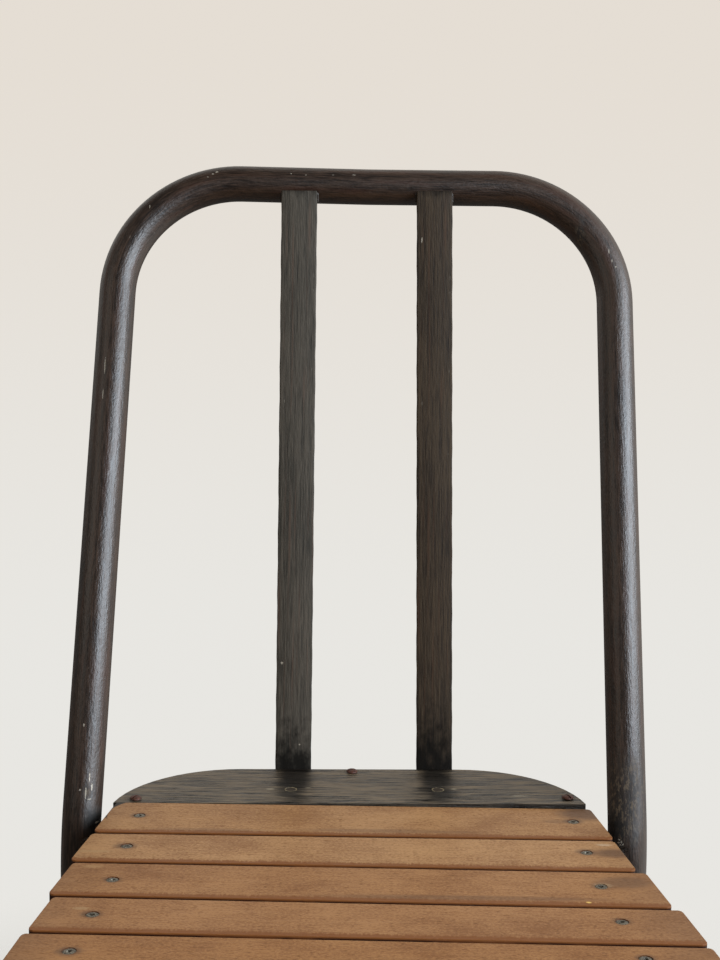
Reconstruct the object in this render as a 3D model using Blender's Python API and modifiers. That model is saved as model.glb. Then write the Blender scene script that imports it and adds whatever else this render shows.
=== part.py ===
"""Dining chair: a bent steel tube frame, a painted rear seat board and seven wooden seat slats.

Units are metres and +Z is up. The sitter faces -Y, and X = 0 is the middle of the chair.
The floor is Z = 0, and the origin is the middle of the chair's footprint.
Places on the seat are given as a depth, measured forward from the line of the backrest bars,
and as a height above the top of the slats.
"""

import math

import bmesh
import bpy
from mathutils import Matrix, Vector

# Clearance left between pieces that are welded, screwed or resting together
CLEARANCE = 0.0003

# Seat
SEAT_HEIGHT = 0.450
SLAT_THICKNESS = 0.0095
SLAT_GAP = 0.0036
SLAT_CORNER = 0.0030
SLAT_EASING = 0.0022

# Half width of the slatted seat: it overhangs the ring where the slats begin, spreads towards
# the front, then draws in again
SIDE_OVERHANG = 0.0035
SIDE_SPREAD = 0.118
SIDE_DRAW_START = 0.230
SIDE_DRAW_LENGTH = 0.170
SIDE_DRAW_IN = 0.0072

# Each slat from the back: width, extra reach of its left and right ends, skew of its front
# edge, and how far its screws sit from its rear edge. The slats are cut by hand and differ.
SLATS = (
    (0.0497, 0.0020, -0.0015, 0.0014, 0.0222),
    (0.0423, 0.0017, -0.0026, 0.0100, 0.0184),
    (0.0438, -0.0012, 0.0015, 0.0163, 0.0207),
    (0.0401, -0.0052, 0.0047, 0.0165, 0.0178),
    (0.0436, -0.0040, 0.0050, 0.0120, 0.0157),
    (0.0424, -0.0020, 0.0030, 0.0060, 0.0190),
    (0.0449, 0.0000, 0.0010, 0.0000, 0.0220),
)

# Rear seat board, a D with two large rear corners. Its thickness is that of its middle: it is
# nearly level with the slats on the left, and rises by the taper towards the right.
BOARD_BAR_GAP = 0.0016
BOARD_FRONT = 0.0715
BOARD_OVERHANG = 0.0051
BOARD_SHIFT = -0.0044
BOARD_CORNER = 0.080
BOARD_THICKNESS = 0.0107
BOARD_TAPER = 0.0125
BOARD_EASING = 0.0012
BOARD_SLAT_GAP = 0.0013

# Hoop: one tube from the left rear foot over the top of the back to the right rear foot
TUBE_RADIUS = 0.0125
TUBE_WALL = 0.0020
HOOP_BESIDE_RING = 0.0265
HOOP_TAPER = 0.0025
HOOP_DEPTH_AT_SEAT = 0.0746
HOOP_RISE = 0.4097
HOOP_LEAN = 0.344
HOOP_SIDE_SHIFT = -0.0008
HOOP_SIDE_LEAN = 0.0076
HOOP_CORNER = 0.0845
HOOP_SAG = 0.0012
KNEE_DROP = 0.035
KNEE_RADIUS = 0.120
REAR_LEG_RAKE = 0.287
REAR_FOOT_SPREAD = 0.0080

# Backrest bars: centre at seat level and sideways lean of each one
BAR_WIDTH = 0.0250
BAR_THICKNESS = 0.0050
BAR_EASING = 0.0006
BAR_SIDES = {"left": (-0.0443, -0.006), "right": (0.0550, -0.016)}
BAR_DEPTH_AT_SEAT = 0.0032
BAR_TOP_BELOW_HOOP = 0.0028
BAR_BEND_DROP = 0.011
BAR_BEND_LENGTH = 0.016
BAR_BEND_RADIUS = 0.015
BAR_FOOT_DROP = 0.041

# Seat ring: an angle iron bent round the back and the sides, flange on top
RING_REAR = 0.0090
RING_HALF = 0.1505
RING_CORNER = 0.076
RING_SPREAD_START = 0.205
RING_SPREAD = 0.090
RING_SET_BACK = 0.0042
RING_HEIGHT = 0.030
RING_FLANGE = 0.028
RING_THICKNESS = 0.0040

# Flat iron across the front and under the rear board
RAIL_THICKNESS = 0.0050
STRAP_WIDTH = 0.025
STRAP_THICKNESS = 0.0040
STRAP_DEPTH = 0.051
STRAP_END_GAP = 0.004

# Lugs between the ring and the hoop
LUG_DEPTH = 0.0850
LUG_LENGTH = 0.022
LUG_HEIGHT = 0.018
LUG_DROP = 0.022

# Front legs and stretchers
LEG_FOOT_SPREAD = 0.0275
LEG_FORWARD_LEAN = 0.038
STRETCHER_RADIUS = 0.0080
STRETCHER_WALL = 0.0015
CROSS_STRETCHER_RADIUS = 0.0070
STRETCHER_HEIGHT = 0.165
CROSS_STRETCHER_SHARE = 0.5

# Rubber feet
FOOT_RADIUS = 0.0150
FOOT_HEIGHT = 0.030
FOOT_PAD = 0.0100
FOOT_EASING = 0.0020

# Slat screws: countersunk heads, flush with the wood
SCREW_HEAD_RADIUS = 0.0035
SCREW_HEAD_HEIGHT = 0.0022
SCREW_RADIUS = 0.0017
SCREW_LENGTH = 0.0165
SCREW_FROM_RING_EDGE = 0.0127
SCREW_RECESS = 0.0002

# Board screws: domed slotted heads, each outer one a little inside the ring's outer line, and
# two flush bolts through the strap
DOME_RADIUS = 0.0046
DOME_HEIGHT = 0.0022
DOME_SLOT_WIDTH = 0.0010
DOME_SLOT_DEPTH = 0.0010
LEFT_SCREW_INSET = 0.0055
RIGHT_SCREW_INSET = 0.0111
BOLT_HEAD_RADIUS = 0.0042
BOLT_HEAD_HEIGHT = 0.0026
BOLT_RADIUS = 0.0020
BOLT_LENGTH = 0.0215
BOLT_PLACES = {"left": (-0.0440, 0.0452), "right": (0.0548, 0.0452)}

# Facets
TUBE_RESOLUTION = 6
STRETCHER_RESOLUTION = 4
HALF_FACET = math.pi / (4 + 2 * TUBE_RESOLUTION)
SCREW_STEPS = 14
FOOT_STEPS = 20
BOARD_ARC_STEPS = 12

# Levels that several pieces share
FLANGE_TOP = -SLAT_THICKNESS - CLEARANCE
BOARD_HALF = RING_HALF + BOARD_OVERHANG
HOOP_HALF_AT_SEAT = RING_HALF + HOOP_BESIDE_RING
HOOP_HALF_AT_TOP = HOOP_HALF_AT_SEAT - HOOP_TAPER
REAR_FOOT_HALF = HOOP_HALF_AT_SEAT + REAR_FOOT_SPREAD
LEG_FOOT_HALF = RING_HALF + LEG_FOOT_SPREAD
BOARD_SCREW_PLACES = {
    "left": (LEFT_SCREW_INSET - RING_HALF, 0.0655),
    "centre": (-0.0030, 0.0120),
    "right": (RING_HALF - RIGHT_SCREW_INSET, 0.0618),
}
BOARD_REAR = BAR_DEPTH_AT_SEAT + BOARD_BAR_GAP
FLANGE_UNDERSIDE = FLANGE_TOP - RING_THICKNESS

# The slats reach a little further forward than the ring under them
SLATS_FRONT = BOARD_FRONT + BOARD_SLAT_GAP + sum(row[0] for row in SLATS) + (len(SLATS) - 1) * SLAT_GAP
RING_FRONT = SLATS_FRONT - RING_SET_BACK

# The front legs start close behind the front rail and lean forward to the floor
LEG_RUN = SEAT_HEIGHT + FLANGE_UNDERSIDE
LEG_SET_BACK = RAIL_THICKNESS + TUBE_RADIUS + LEG_FORWARD_LEAN * RING_HEIGHT + 2 * CLEARANCE
LEG_DEPTH_AT_TOP = RING_FRONT - LEG_SET_BACK
LEG_DEPTH_AT_FLOOR = LEG_DEPTH_AT_TOP + LEG_FORWARD_LEAN * LEG_RUN

# The footprint runs from the front feet to the back of the hoop, and its middle is Y = 0
HOOP_REACH = HOOP_LEAN * HOOP_RISE - HOOP_DEPTH_AT_SEAT + TUBE_RADIUS
FRONT_REACH = LEG_DEPTH_AT_FLOOR + FOOT_RADIUS
DATUM_Y = (FRONT_REACH - HOOP_REACH) / 2


def clear_scene():
    """Remove what the scene holds."""
    for obj in list(bpy.data.objects):
        bpy.data.objects.remove(obj, do_unlink=True)


def new_collection(name):
    """Make a collection and link it to the scene."""
    collection = bpy.data.collections.new(name)
    bpy.context.scene.collection.children.link(collection)
    return collection


def new_material(name, colour, roughness, metallic):
    """Make a plain Principled material."""
    material = bpy.data.materials.new(name)
    material.use_nodes = True
    shader = material.node_tree.nodes["Principled BSDF"]
    shader.inputs["Base Color"].default_value = (*colour, 1.0)
    shader.inputs["Roughness"].default_value = roughness
    shader.inputs["Metallic"].default_value = metallic
    material.diffuse_color = (*colour, 1.0)
    return material


def place(x, depth, height):
    """Point at a depth forward of the bars and a height above the slats."""
    return Vector((x, DATUM_Y - depth, SEAT_HEIGHT + height))


def fillet(points, radii, steps):
    """Round the inner corners of an open line of points with arcs of the given radii."""
    points = [Vector(point) for point in points]
    result = [points[0]]
    for index in range(1, len(points) - 1):
        corner = points[index]
        before = (points[index - 1] - corner).normalized()
        after = (points[index + 1] - corner).normalized()
        radius = radii[index - 1]
        if radius <= 0.0:
            result.append(corner)
            continue
        opening = before.angle(after)
        to_centre = (before + after).normalized()
        centre = corner + to_centre * (radius / math.sin(opening / 2))
        start = corner + before * (radius / math.tan(opening / 2)) - centre
        end = corner + after * (radius / math.tan(opening / 2)) - centre
        turn = start.angle(end)
        for step in range(steps + 1):
            share = step / steps
            part = start * math.sin((1 - share) * turn) + end * math.sin(share * turn)
            result.append(centre + part / math.sin(turn))
    result.append(points[-1])
    return result


def new_curve(name, points, cyclic=False, dimensions="3D"):
    """Make a curve object with one straight-segment spline through the points."""
    data = bpy.data.curves.new(name, "CURVE")
    data.dimensions = dimensions
    spline = data.splines.new("POLY")
    spline.points.add(len(points) - 1)
    for target, point in zip(spline.points, points):
        target.co = (*Vector(point).to_3d(), 1.0)
    spline.use_cyclic_u = cyclic
    obj = bpy.data.objects.new(name, data)
    guides.objects.link(obj)
    return obj


def finish(obj, material):
    """Give an object its material and smooth shading, and move it among the chair's parts."""
    obj.data.materials.clear()
    obj.data.materials.append(material)
    obj.data.shade_smooth()
    obj.data.set_sharp_from_angle(angle=math.radians(35))
    for collection in list(obj.users_collection):
        collection.objects.unlink(obj)
    chair.objects.link(obj)
    return obj


def curve_to_mesh(curve, name):
    """Turn a curve object into a mesh object with welded caps."""
    bpy.context.view_layer.update()
    evaluated = curve.evaluated_get(bpy.context.evaluated_depsgraph_get())
    mesh = bpy.data.meshes.new_from_object(evaluated)
    shape = bmesh.new()
    shape.from_mesh(mesh)
    bmesh.ops.remove_doubles(shape, verts=shape.verts, dist=0.000001)
    bmesh.ops.recalc_face_normals(shape, faces=shape.faces)
    shape.to_mesh(mesh)
    shape.free()
    mesh.name = name
    obj = bpy.data.objects.new(name, mesh)
    obj.matrix_world = curve.matrix_world.copy()
    bpy.data.objects.remove(curve, do_unlink=True)
    guides.objects.link(obj)
    obj.name = name
    return obj


def rod(name, points, radius, resolution, facet_turn=0.0):
    """Solid round bar along a line of points, its facets turned round it by an angle."""
    curve = new_curve(name + "_path", points)
    for point in curve.data.splines[0].points:
        point.tilt = facet_turn
    curve.data.bevel_depth = radius
    curve.data.bevel_resolution = resolution
    curve.data.use_fill_caps = True
    return curve_to_mesh(curve, name)


def tube(name, points, radius, wall, resolution, material):
    """Hollow round tube with open ends along a line of points."""
    curve = new_curve(name + "_path", points)
    curve.data.bevel_depth = radius
    curve.data.bevel_resolution = resolution
    curve.data.use_fill_caps = False
    obj = curve_to_mesh(curve, name)
    hollow = obj.modifiers.new("wall", "SOLIDIFY")
    hollow.thickness = wall
    hollow.offset = -1.0
    hollow.use_even_offset = True
    return finish(obj, material)


def as_cutter(obj):
    """Keep an object as a cutter: drawn as wire and never rendered."""
    obj.hide_render = True
    obj.display_type = "WIRE"
    return obj


def cut(obj, cutters):
    """Take each cutter out of an object."""
    for cutter in cutters:
        hole = obj.modifiers.new("cut_" + cutter.name, "BOOLEAN")
        hole.operation = "DIFFERENCE"
        hole.solver = "EXACT"
        hole.object = cutter


def plate(name, outline, thickness, top, easing, segments):
    """Flat board with a given outline, its upper face at a height above the slats."""
    curve = new_curve(name + "_outline", outline, cyclic=True, dimensions="2D")
    curve.data.fill_mode = "BOTH"
    curve.data.extrude = thickness / 2
    obj = curve_to_mesh(curve, name)
    obj.location = (0, 0, SEAT_HEIGHT + top - thickness / 2)
    edges = obj.modifiers.new("eased_edges", "BEVEL")
    edges.width = easing
    edges.segments = segments
    edges.limit_method = "ANGLE"
    edges.angle_limit = math.radians(50)
    return obj


def box(name, size, centre):
    """Rectangular bar of a given size."""
    bpy.ops.mesh.primitive_cube_add(size=1)
    obj = bpy.context.active_object
    obj.name = name
    obj.data.name = name
    obj.data.transform(Matrix.Diagonal((*size, 1.0)))
    obj.location = centre
    for collection in list(obj.users_collection):
        collection.objects.unlink(obj)
    guides.objects.link(obj)
    return obj


def turned(name, profile, steps):
    """Turned piece: a profile of (radius, height) pairs from the top down, spun round Z."""
    mesh = bpy.data.meshes.new(name)
    shape = bmesh.new()
    points = [shape.verts.new((radius, 0, height)) for radius, height in profile]
    for first, second in zip(points, points[1:]):
        shape.edges.new((first, second))
    shape.to_mesh(mesh)
    shape.free()
    obj = bpy.data.objects.new(name, mesh)
    guides.objects.link(obj)
    spin = obj.modifiers.new("spin", "SCREW")
    spin.steps = steps
    spin.render_steps = steps
    spin.use_merge_vertices = True
    spin.merge_threshold = 0.00001
    return obj


def side_half(depth):
    """Half width of the slatted seat at a depth."""
    drawn = max(0.0, depth - SIDE_DRAW_START) / SIDE_DRAW_LENGTH
    spread = SIDE_SPREAD * (depth - BOARD_FRONT)
    return RING_HALF + SIDE_OVERHANG + spread - SIDE_DRAW_IN * drawn ** 2


def ring_half(depth):
    """Outer half width of the seat ring at a depth."""
    return RING_HALF + RING_SPREAD * max(0.0, depth - RING_SPREAD_START)


def hoop_point(side, height):
    """Centre of the hoop tube above the knee, on one side, at a height above the slats."""
    share = height / HOOP_RISE
    half = HOOP_HALF_AT_SEAT + (HOOP_HALF_AT_TOP - HOOP_HALF_AT_SEAT) * share
    shift = HOOP_SIDE_SHIFT + HOOP_SIDE_LEAN * height
    return place(side * half + shift, HOOP_DEPTH_AT_SEAT - HOOP_LEAN * height, height)


def rear_foot_point(side):
    """Centre of the hoop tube where it ends in a rear foot."""
    knee = hoop_point(side, -KNEE_DROP)
    drop = knee.z - FOOT_PAD
    return Vector((side * REAR_FOOT_HALF, knee.y + REAR_LEG_RAKE * drop, FOOT_PAD))


def hoop_path():
    """Centre line of the hoop, from the left foot to the right foot."""
    top = hoop_point(0, HOOP_RISE)
    top.z -= HOOP_SAG
    corners = [
        rear_foot_point(-1),
        hoop_point(-1, -KNEE_DROP),
        hoop_point(-1, HOOP_RISE),
        top,
        hoop_point(1, HOOP_RISE),
        hoop_point(1, -KNEE_DROP),
        rear_foot_point(1),
    ]
    return fillet(corners, [KNEE_RADIUS, HOOP_CORNER, 0.0, HOOP_CORNER, KNEE_RADIUS], 9)


def front_leg_points(side):
    """Top and bottom of a front leg's centre line."""
    inside = ring_half(LEG_DEPTH_AT_TOP) - RING_THICKNESS - TUBE_RADIUS - 2 * CLEARANCE
    lean = (LEG_FOOT_HALF - inside) / LEG_RUN
    inside -= abs(lean) * RING_HEIGHT + TUBE_RADIUS * lean * lean
    lean = (LEG_FOOT_HALF - inside) / LEG_RUN
    rim = TUBE_RADIUS * math.hypot(lean, LEG_FORWARD_LEAN)
    top = place(side * inside, LEG_DEPTH_AT_TOP, FLANGE_UNDERSIDE - CLEARANCE - rim)
    floor = Vector((side * LEG_FOOT_HALF, DATUM_Y - LEG_DEPTH_AT_FLOOR, 0.0))
    end = floor + (top - floor).normalized() * FOOT_PAD
    return top, end


def point_at_height(first, second, height):
    """Point on the line through two points at a height above the floor."""
    return first.lerp(second, (height - first.z) / (second.z - first.z))


def build_hoop():
    """The bent tube of the back and the rear legs."""
    path = hoop_path()
    tube("back_hoop", path, TUBE_RADIUS, TUBE_WALL, TUBE_RESOLUTION, paint)
    return as_cutter(rod("hoop_clearance", path, TUBE_RADIUS + CLEARANCE, TUBE_RESOLUTION))


def build_bar(side_name, centre, side_lean):
    """A flat bar, welded to the front of the hoop's top and to the rear face of the ring."""
    half = BAR_THICKNESS / 2
    top_height = HOOP_RISE - BAR_TOP_BELOW_HOOP
    hoop_front = hoop_point(0, HOOP_RISE - HOOP_SAG).y - TUBE_RADIUS
    lean_cosine = math.cos(math.atan(HOOP_LEAN / 2))
    top_y = hoop_front - (half + 2 * CLEARANCE) / lean_cosine
    seat_y = DATUM_Y - BAR_DEPTH_AT_SEAT + half
    slope = (top_y - seat_y) / HOOP_RISE
    ring_y = DATUM_Y - RING_REAR + CLEARANCE + half
    side_view = [
        (seat_y + slope * top_height, SEAT_HEIGHT + top_height),
        (seat_y - slope * BAR_BEND_DROP, SEAT_HEIGHT - BAR_BEND_DROP),
        (ring_y, SEAT_HEIGHT - BAR_BEND_DROP - BAR_BEND_LENGTH),
        (ring_y, SEAT_HEIGHT - BAR_FOOT_DROP),
    ]
    line = fillet([(y, z, 0) for y, z in side_view], [BAR_BEND_RADIUS] * 2, 4)
    foot = line[-1].copy()
    curve = new_curve("bar_strip_" + side_name, [point - foot for point in line])
    curve.data.extrude = BAR_WIDTH / 2
    obj = curve_to_mesh(curve, "back_bar_" + side_name)
    upright = Matrix(((0, 0, 1), (1, 0, 0), (0, 1, 0))).to_4x4()
    obj.data.transform(upright)
    obj.location = (centre - side_lean * BAR_FOOT_DROP, foot.x, foot.y)
    obj.rotation_euler = (0, math.atan(side_lean), 0)
    thick = obj.modifiers.new("thickness", "SOLIDIFY")
    thick.thickness = BAR_THICKNESS
    thick.offset = 0.0
    edges = obj.modifiers.new("eased_edges", "BEVEL")
    edges.width = BAR_EASING
    edges.segments = 1
    edges.limit_method = "ANGLE"
    edges.angle_limit = math.radians(60)
    finish(obj, paint)


def ring_line():
    """Outer line of the ring in plan, from the left front end round the back to the right."""
    half_front = ring_half(RING_FRONT)
    plan = [
        (-half_front, RING_FRONT),
        (-RING_HALF, RING_SPREAD_START),
        (-RING_HALF, RING_REAR),
        (RING_HALF, RING_REAR),
        (RING_HALF, RING_SPREAD_START),
        (half_front, RING_FRONT),
    ]
    corners = [(x, DATUM_Y - depth, 0) for x, depth in plan]
    return fillet(corners, [0.0, RING_CORNER, RING_CORNER, 0.0], 10)


def build_ring(cutters):
    """The seat ring: an angle section swept along the ring's outer line, drilled for screws."""
    section = [
        (0, 0),
        (RING_FLANGE, 0),
        (RING_FLANGE, -RING_THICKNESS),
        (RING_THICKNESS, -RING_THICKNESS),
        (RING_THICKNESS, -RING_HEIGHT),
        (0, -RING_HEIGHT),
    ]
    profile = new_curve("ring_section", section, cyclic=True, dimensions="2D")
    profile.data.fill_mode = "NONE"
    as_cutter(profile)
    curve = new_curve("ring_path", ring_line(), dimensions="2D")
    curve.data.fill_mode = "NONE"
    curve.data.bevel_mode = "OBJECT"
    curve.data.bevel_object = profile
    curve.data.use_fill_caps = True
    obj = curve_to_mesh(curve, "seat_ring")
    obj.location.z = SEAT_HEIGHT + FLANGE_TOP
    bpy.data.objects.remove(profile, do_unlink=True)
    cut(obj, cutters)
    finish(obj, paint)


def build_front_rail():
    """Flat iron on edge between the front ends of the ring, under its flanges."""
    depth = RING_FRONT - RAIL_THICKNESS / 2
    half = ring_half(RING_FRONT - RAIL_THICKNESS) - RING_THICKNESS - 2 * CLEARANCE
    height = RING_HEIGHT - RING_THICKNESS - CLEARANCE
    size = (2 * half, RAIL_THICKNESS, height)
    centre = place(0, depth, FLANGE_UNDERSIDE - CLEARANCE - height / 2)
    finish(box("front_rail", size, centre), paint)


def build_strap(cutters):
    """Flat iron under the rear board, lapped under the flanges of the ring."""
    above_arc_centre = RING_REAR + RING_CORNER - STRAP_DEPTH + STRAP_WIDTH / 2
    inner_arc = RING_CORNER - RING_THICKNESS
    half = RING_HALF - RING_CORNER + math.sqrt(inner_arc ** 2 - above_arc_centre ** 2) - STRAP_END_GAP
    size = (2 * half, STRAP_WIDTH, STRAP_THICKNESS)
    centre = place(0, STRAP_DEPTH, FLANGE_UNDERSIDE - CLEARANCE - STRAP_THICKNESS / 2)
    obj = box("board_strap", size, centre)
    cut(obj, cutters)
    finish(obj, paint)


def build_lug(side_name, side, hoop_cutter):
    """Short block between the ring's side and the hoop tube, coped to the tube."""
    inner = ring_half(LUG_DEPTH) + CLEARANCE
    outer = abs(hoop_point(side, -LUG_DROP).x)
    size = (outer - inner, LUG_LENGTH, LUG_HEIGHT)
    centre = place(side * (inner + outer) / 2, LUG_DEPTH + LUG_LENGTH / 4, -LUG_DROP)
    obj = box("seat_lug_" + side_name, size, centre)
    cut(obj, [hoop_cutter])
    finish(obj, paint)


def build_front_leg(side_name, side):
    """A front leg, leaning out and forward, welded under the ring's flange."""
    points = front_leg_points(side)
    tube("front_leg_" + side_name, points, TUBE_RADIUS, TUBE_WALL, TUBE_RESOLUTION, paint)
    return as_cutter(rod("leg_clearance_" + side_name, points, TUBE_RADIUS + CLEARANCE, TUBE_RESOLUTION))


def stretcher_ends(side):
    """Centre points on the front and the rear leg where a side stretcher meets them."""
    top, end = front_leg_points(side)
    front = point_at_height(top, end, STRETCHER_HEIGHT)
    rear = point_at_height(hoop_point(side, -KNEE_DROP), rear_foot_point(side), STRETCHER_HEIGHT)
    return front, rear


def build_stretchers(hoop_cutter, leg_cutters):
    """Two side stretchers and the cross stretcher between them, all coped at their ends."""
    side_cutters = []
    middles = []
    for side_name, side in SIDES:
        ends = stretcher_ends(side)
        name = "side_stretcher_" + side_name
        obj = tube(name, ends, STRETCHER_RADIUS, STRETCHER_WALL, STRETCHER_RESOLUTION, paint)
        cut(obj, [hoop_cutter, leg_cutters[side_name]])
        middles.append(ends[0].lerp(ends[1], CROSS_STRETCHER_SHARE))
        radius = STRETCHER_RADIUS + CLEARANCE
        clearance = rod(name + "_clearance", ends, radius, TUBE_RESOLUTION, HALF_FACET)
        side_cutters.append(as_cutter(clearance))
    inset = (middles[1] - middles[0]).normalized() * STRETCHER_RADIUS / 4
    ends = [middles[0] + inset, middles[1] - inset]
    radius = CROSS_STRETCHER_RADIUS
    cross = tube("cross_stretcher", ends, radius, STRETCHER_WALL, STRETCHER_RESOLUTION, paint)
    cut(cross, side_cutters)


def build_foot(name, end, direction, floor_cutter):
    """Rubber cap round the end of a leg, cut flat on the floor."""
    bore = TUBE_RADIUS + CLEARANCE
    tip = -FOOT_PAD - FOOT_RADIUS
    rim = FOOT_HEIGHT - FOOT_PAD
    profile = [
        (0.0, -CLEARANCE),
        (bore, -CLEARANCE),
        (bore, rim),
        (FOOT_RADIUS - FOOT_EASING, rim),
        (FOOT_RADIUS, rim - FOOT_EASING),
        (FOOT_RADIUS, tip),
        (0.0, tip),
    ]
    obj = turned(name, profile, FOOT_STEPS)
    obj.location = end
    obj.rotation_euler = direction.to_track_quat("Z", "Y").to_euler()
    cut(obj, [floor_cutter])
    finish(obj, rubber)


def screw_profile(grow):
    """Countersunk screw, its head's top at height 0, or the hole that it fits in."""
    top = CLEARANCE if grow else 0.0
    return [
        (0.0, top),
        (SCREW_HEAD_RADIUS + grow, top),
        (SCREW_HEAD_RADIUS + grow, -0.0003),
        (SCREW_RADIUS + grow, -SCREW_HEAD_HEIGHT),
        (SCREW_RADIUS + grow, -SCREW_LENGTH - grow),
        (0.0, -SCREW_LENGTH - grow),
    ]


def board_top(x):
    """Height of the rear board's upper face."""
    return BOARD_THICKNESS - SLAT_THICKNESS + BOARD_TAPER * x


def dome_profile(grow, shank):
    """Domed screw with a shank of a given length, the underside of its head at height 0."""
    rows = 4
    dome = []
    for row in range(rows + 1):
        angle = math.pi / 2 * row / rows
        dome.append((DOME_RADIUS * math.sin(angle), DOME_HEIGHT * math.cos(angle)))
    if grow:
        dome = [(0.0, DOME_HEIGHT)]
        dome.append((SCREW_RADIUS + grow, DOME_HEIGHT))
    else:
        dome.append((SCREW_RADIUS, 0.0))
    return dome + [(SCREW_RADIUS + grow, -shank - grow), (0.0, -shank - grow)]


def bolt_profile(grow):
    """Flush bolt with a countersunk head, its top at height 0."""
    top = CLEARANCE if grow else 0.0
    return [
        (0.0, top),
        (BOLT_HEAD_RADIUS + grow, top),
        (BOLT_HEAD_RADIUS + grow, -0.0005),
        (BOLT_RADIUS + grow, -BOLT_HEAD_HEIGHT),
        (BOLT_RADIUS + grow, -BOLT_LENGTH - grow),
        (0.0, -BOLT_LENGTH - grow),
    ]


def slat_layout():
    """Each slat's edges: depth and skew of its rear and front edge, with its other values."""
    rows = []
    rear = BOARD_FRONT + BOARD_SLAT_GAP
    rear_skew = 0.0
    for width, left_reach, right_reach, front_skew, screw_inset in SLATS:
        front = rear + width
        rows.append((rear, rear_skew, front, front_skew, left_reach, right_reach, rear + screw_inset))
        rear = front + SLAT_GAP
        rear_skew = front_skew
    return rows


def slat_outline(row):
    """Plan of a slat: its ends follow the spread of the seat."""
    rear, rear_skew, front, front_skew, left_reach, right_reach, _ = row
    corners = []
    for depth, skew, sides in ((rear, rear_skew, (1, -1)), (front, front_skew, (-1, 1))):
        for side in sides:
            reach = right_reach if side > 0 else left_reach
            x = side * (side_half(depth) + reach)
            corners.append((x, DATUM_Y - depth - skew * x, 0))
    start = Vector(corners[3]).lerp(Vector(corners[0]), 0.5)
    return fillet([start] + corners + [start], [SLAT_CORNER] * 4, 3)[:-1]


def board_outline():
    """Plan of the rear board: a straight front edge, and an arc at each side to the straight rear."""
    centre_depth = BOARD_REAR + BOARD_CORNER
    start = math.asin((centre_depth - BOARD_FRONT) / BOARD_CORNER)
    arc = []
    for step in range(BOARD_ARC_STEPS + 1):
        angle = start + (math.pi / 2 - start) * step / BOARD_ARC_STEPS
        across = BOARD_HALF - BOARD_CORNER + BOARD_CORNER * math.cos(angle)
        arc.append((across, DATUM_Y - centre_depth + BOARD_CORNER * math.sin(angle)))
    right = [(BOARD_SHIFT + across, y, 0) for across, y in arc]
    left = [(BOARD_SHIFT - across, y, 0) for across, y in reversed(arc)]
    return right + left


def build_slats():
    """The seven slats with their screws. Returns the cutters for the screw holes."""
    holes = []
    for number, row in enumerate(slat_layout(), start=1):
        slat = plate("seat_slat_%d" % number, slat_outline(row), SLAT_THICKNESS, 0.0, SLAT_EASING, 3)
        own_holes = []
        for side_name, side in SIDES:
            depth = row[6]
            x = side * (ring_half(depth) - SCREW_FROM_RING_EDGE)
            where = place(x, depth, -SCREW_RECESS)
            name = "slat_screw_%d_%s" % (number, side_name)
            screw = turned(name, screw_profile(0.0), SCREW_STEPS)
            screw.location = where
            finish(screw, steel)
            hole = as_cutter(turned("hole_" + name, screw_profile(CLEARANCE), SCREW_STEPS))
            hole.location = where
            own_holes.append(hole)
        cut(slat, own_holes)
        finish(slat, wood)
        holes.extend(own_holes)
    return holes


def build_board():
    """The rear board with its screws and bolts. Returns the cutters for ring and for strap."""
    board = plate("rear_board", board_outline(), BOARD_THICKNESS, board_top(0), BOARD_EASING, 2)
    for vertex in board.data.vertices:
        if vertex.co.z > 0:
            vertex.co.z += BOARD_TAPER * vertex.co.x
    ring_holes = []
    for side_name, (x, depth) in BOARD_SCREW_PLACES.items():
        name = "board_screw_" + side_name
        where = place(x, depth, board_top(x) + CLEARANCE)
        shank = board_top(x) - FLANGE_UNDERSIDE + SCREW_RADIUS
        screw = turned(name, dome_profile(0.0, shank), SCREW_STEPS)
        screw.location = where
        slot_size = (4 * DOME_RADIUS, DOME_SLOT_WIDTH, 2 * DOME_SLOT_DEPTH)
        slot = as_cutter(box("slot_" + name, slot_size, where + Vector((0, 0, DOME_HEIGHT))))
        cut(screw, [slot])
        finish(screw, rusty_steel)
        hole = as_cutter(turned("hole_" + name, dome_profile(CLEARANCE, shank), SCREW_STEPS))
        hole.location = where
        ring_holes.append(hole)
    strap_holes = []
    for side_name, (x, depth) in BOLT_PLACES.items():
        name = "board_bolt_" + side_name
        where = place(x, depth, board_top(x) - SCREW_RECESS)
        bolt = turned(name, bolt_profile(0.0), SCREW_STEPS)
        bolt.location = where
        finish(bolt, steel)
        hole = as_cutter(turned("hole_" + name, bolt_profile(CLEARANCE), SCREW_STEPS))
        hole.location = where
        strap_holes.append(hole)
    cut(board, ring_holes + strap_holes)
    finish(board, board_paint)
    return ring_holes, strap_holes


def build_feet():
    """Four rubber feet, all cut by one flat floor."""
    spread = 2 * (FRONT_REACH + HOOP_REACH)
    size = (spread, spread, FOOT_HEIGHT)
    floor = as_cutter(box("floor_cut", size, Vector((0, 0, -FOOT_HEIGHT / 2))))
    for side_name, side in SIDES:
        top, end = front_leg_points(side)
        build_foot("front_foot_" + side_name, end, top - end, floor)
        rear_end = rear_foot_point(side)
        direction = hoop_point(side, -KNEE_DROP) - rear_end
        build_foot("rear_foot_" + side_name, rear_end, direction, floor)


SIDES = (("left", -1), ("right", 1))

clear_scene()
chair = new_collection("metal_chair")
guides = new_collection("cutters")

paint = new_material("black_paint", (0.045, 0.040, 0.037), 0.42, 0.0)
board_paint = new_material("board_paint", (0.060, 0.058, 0.054), 0.35, 0.0)
wood = new_material("oiled_wood", (0.330, 0.195, 0.105), 0.45, 0.0)
steel = new_material("screw_steel", (0.560, 0.540, 0.510), 0.35, 1.0)
rusty_steel = new_material("rusty_steel", (0.130, 0.045, 0.035), 0.60, 0.5)
rubber = new_material("rubber", (0.020, 0.020, 0.020), 0.80, 0.0)

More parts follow.
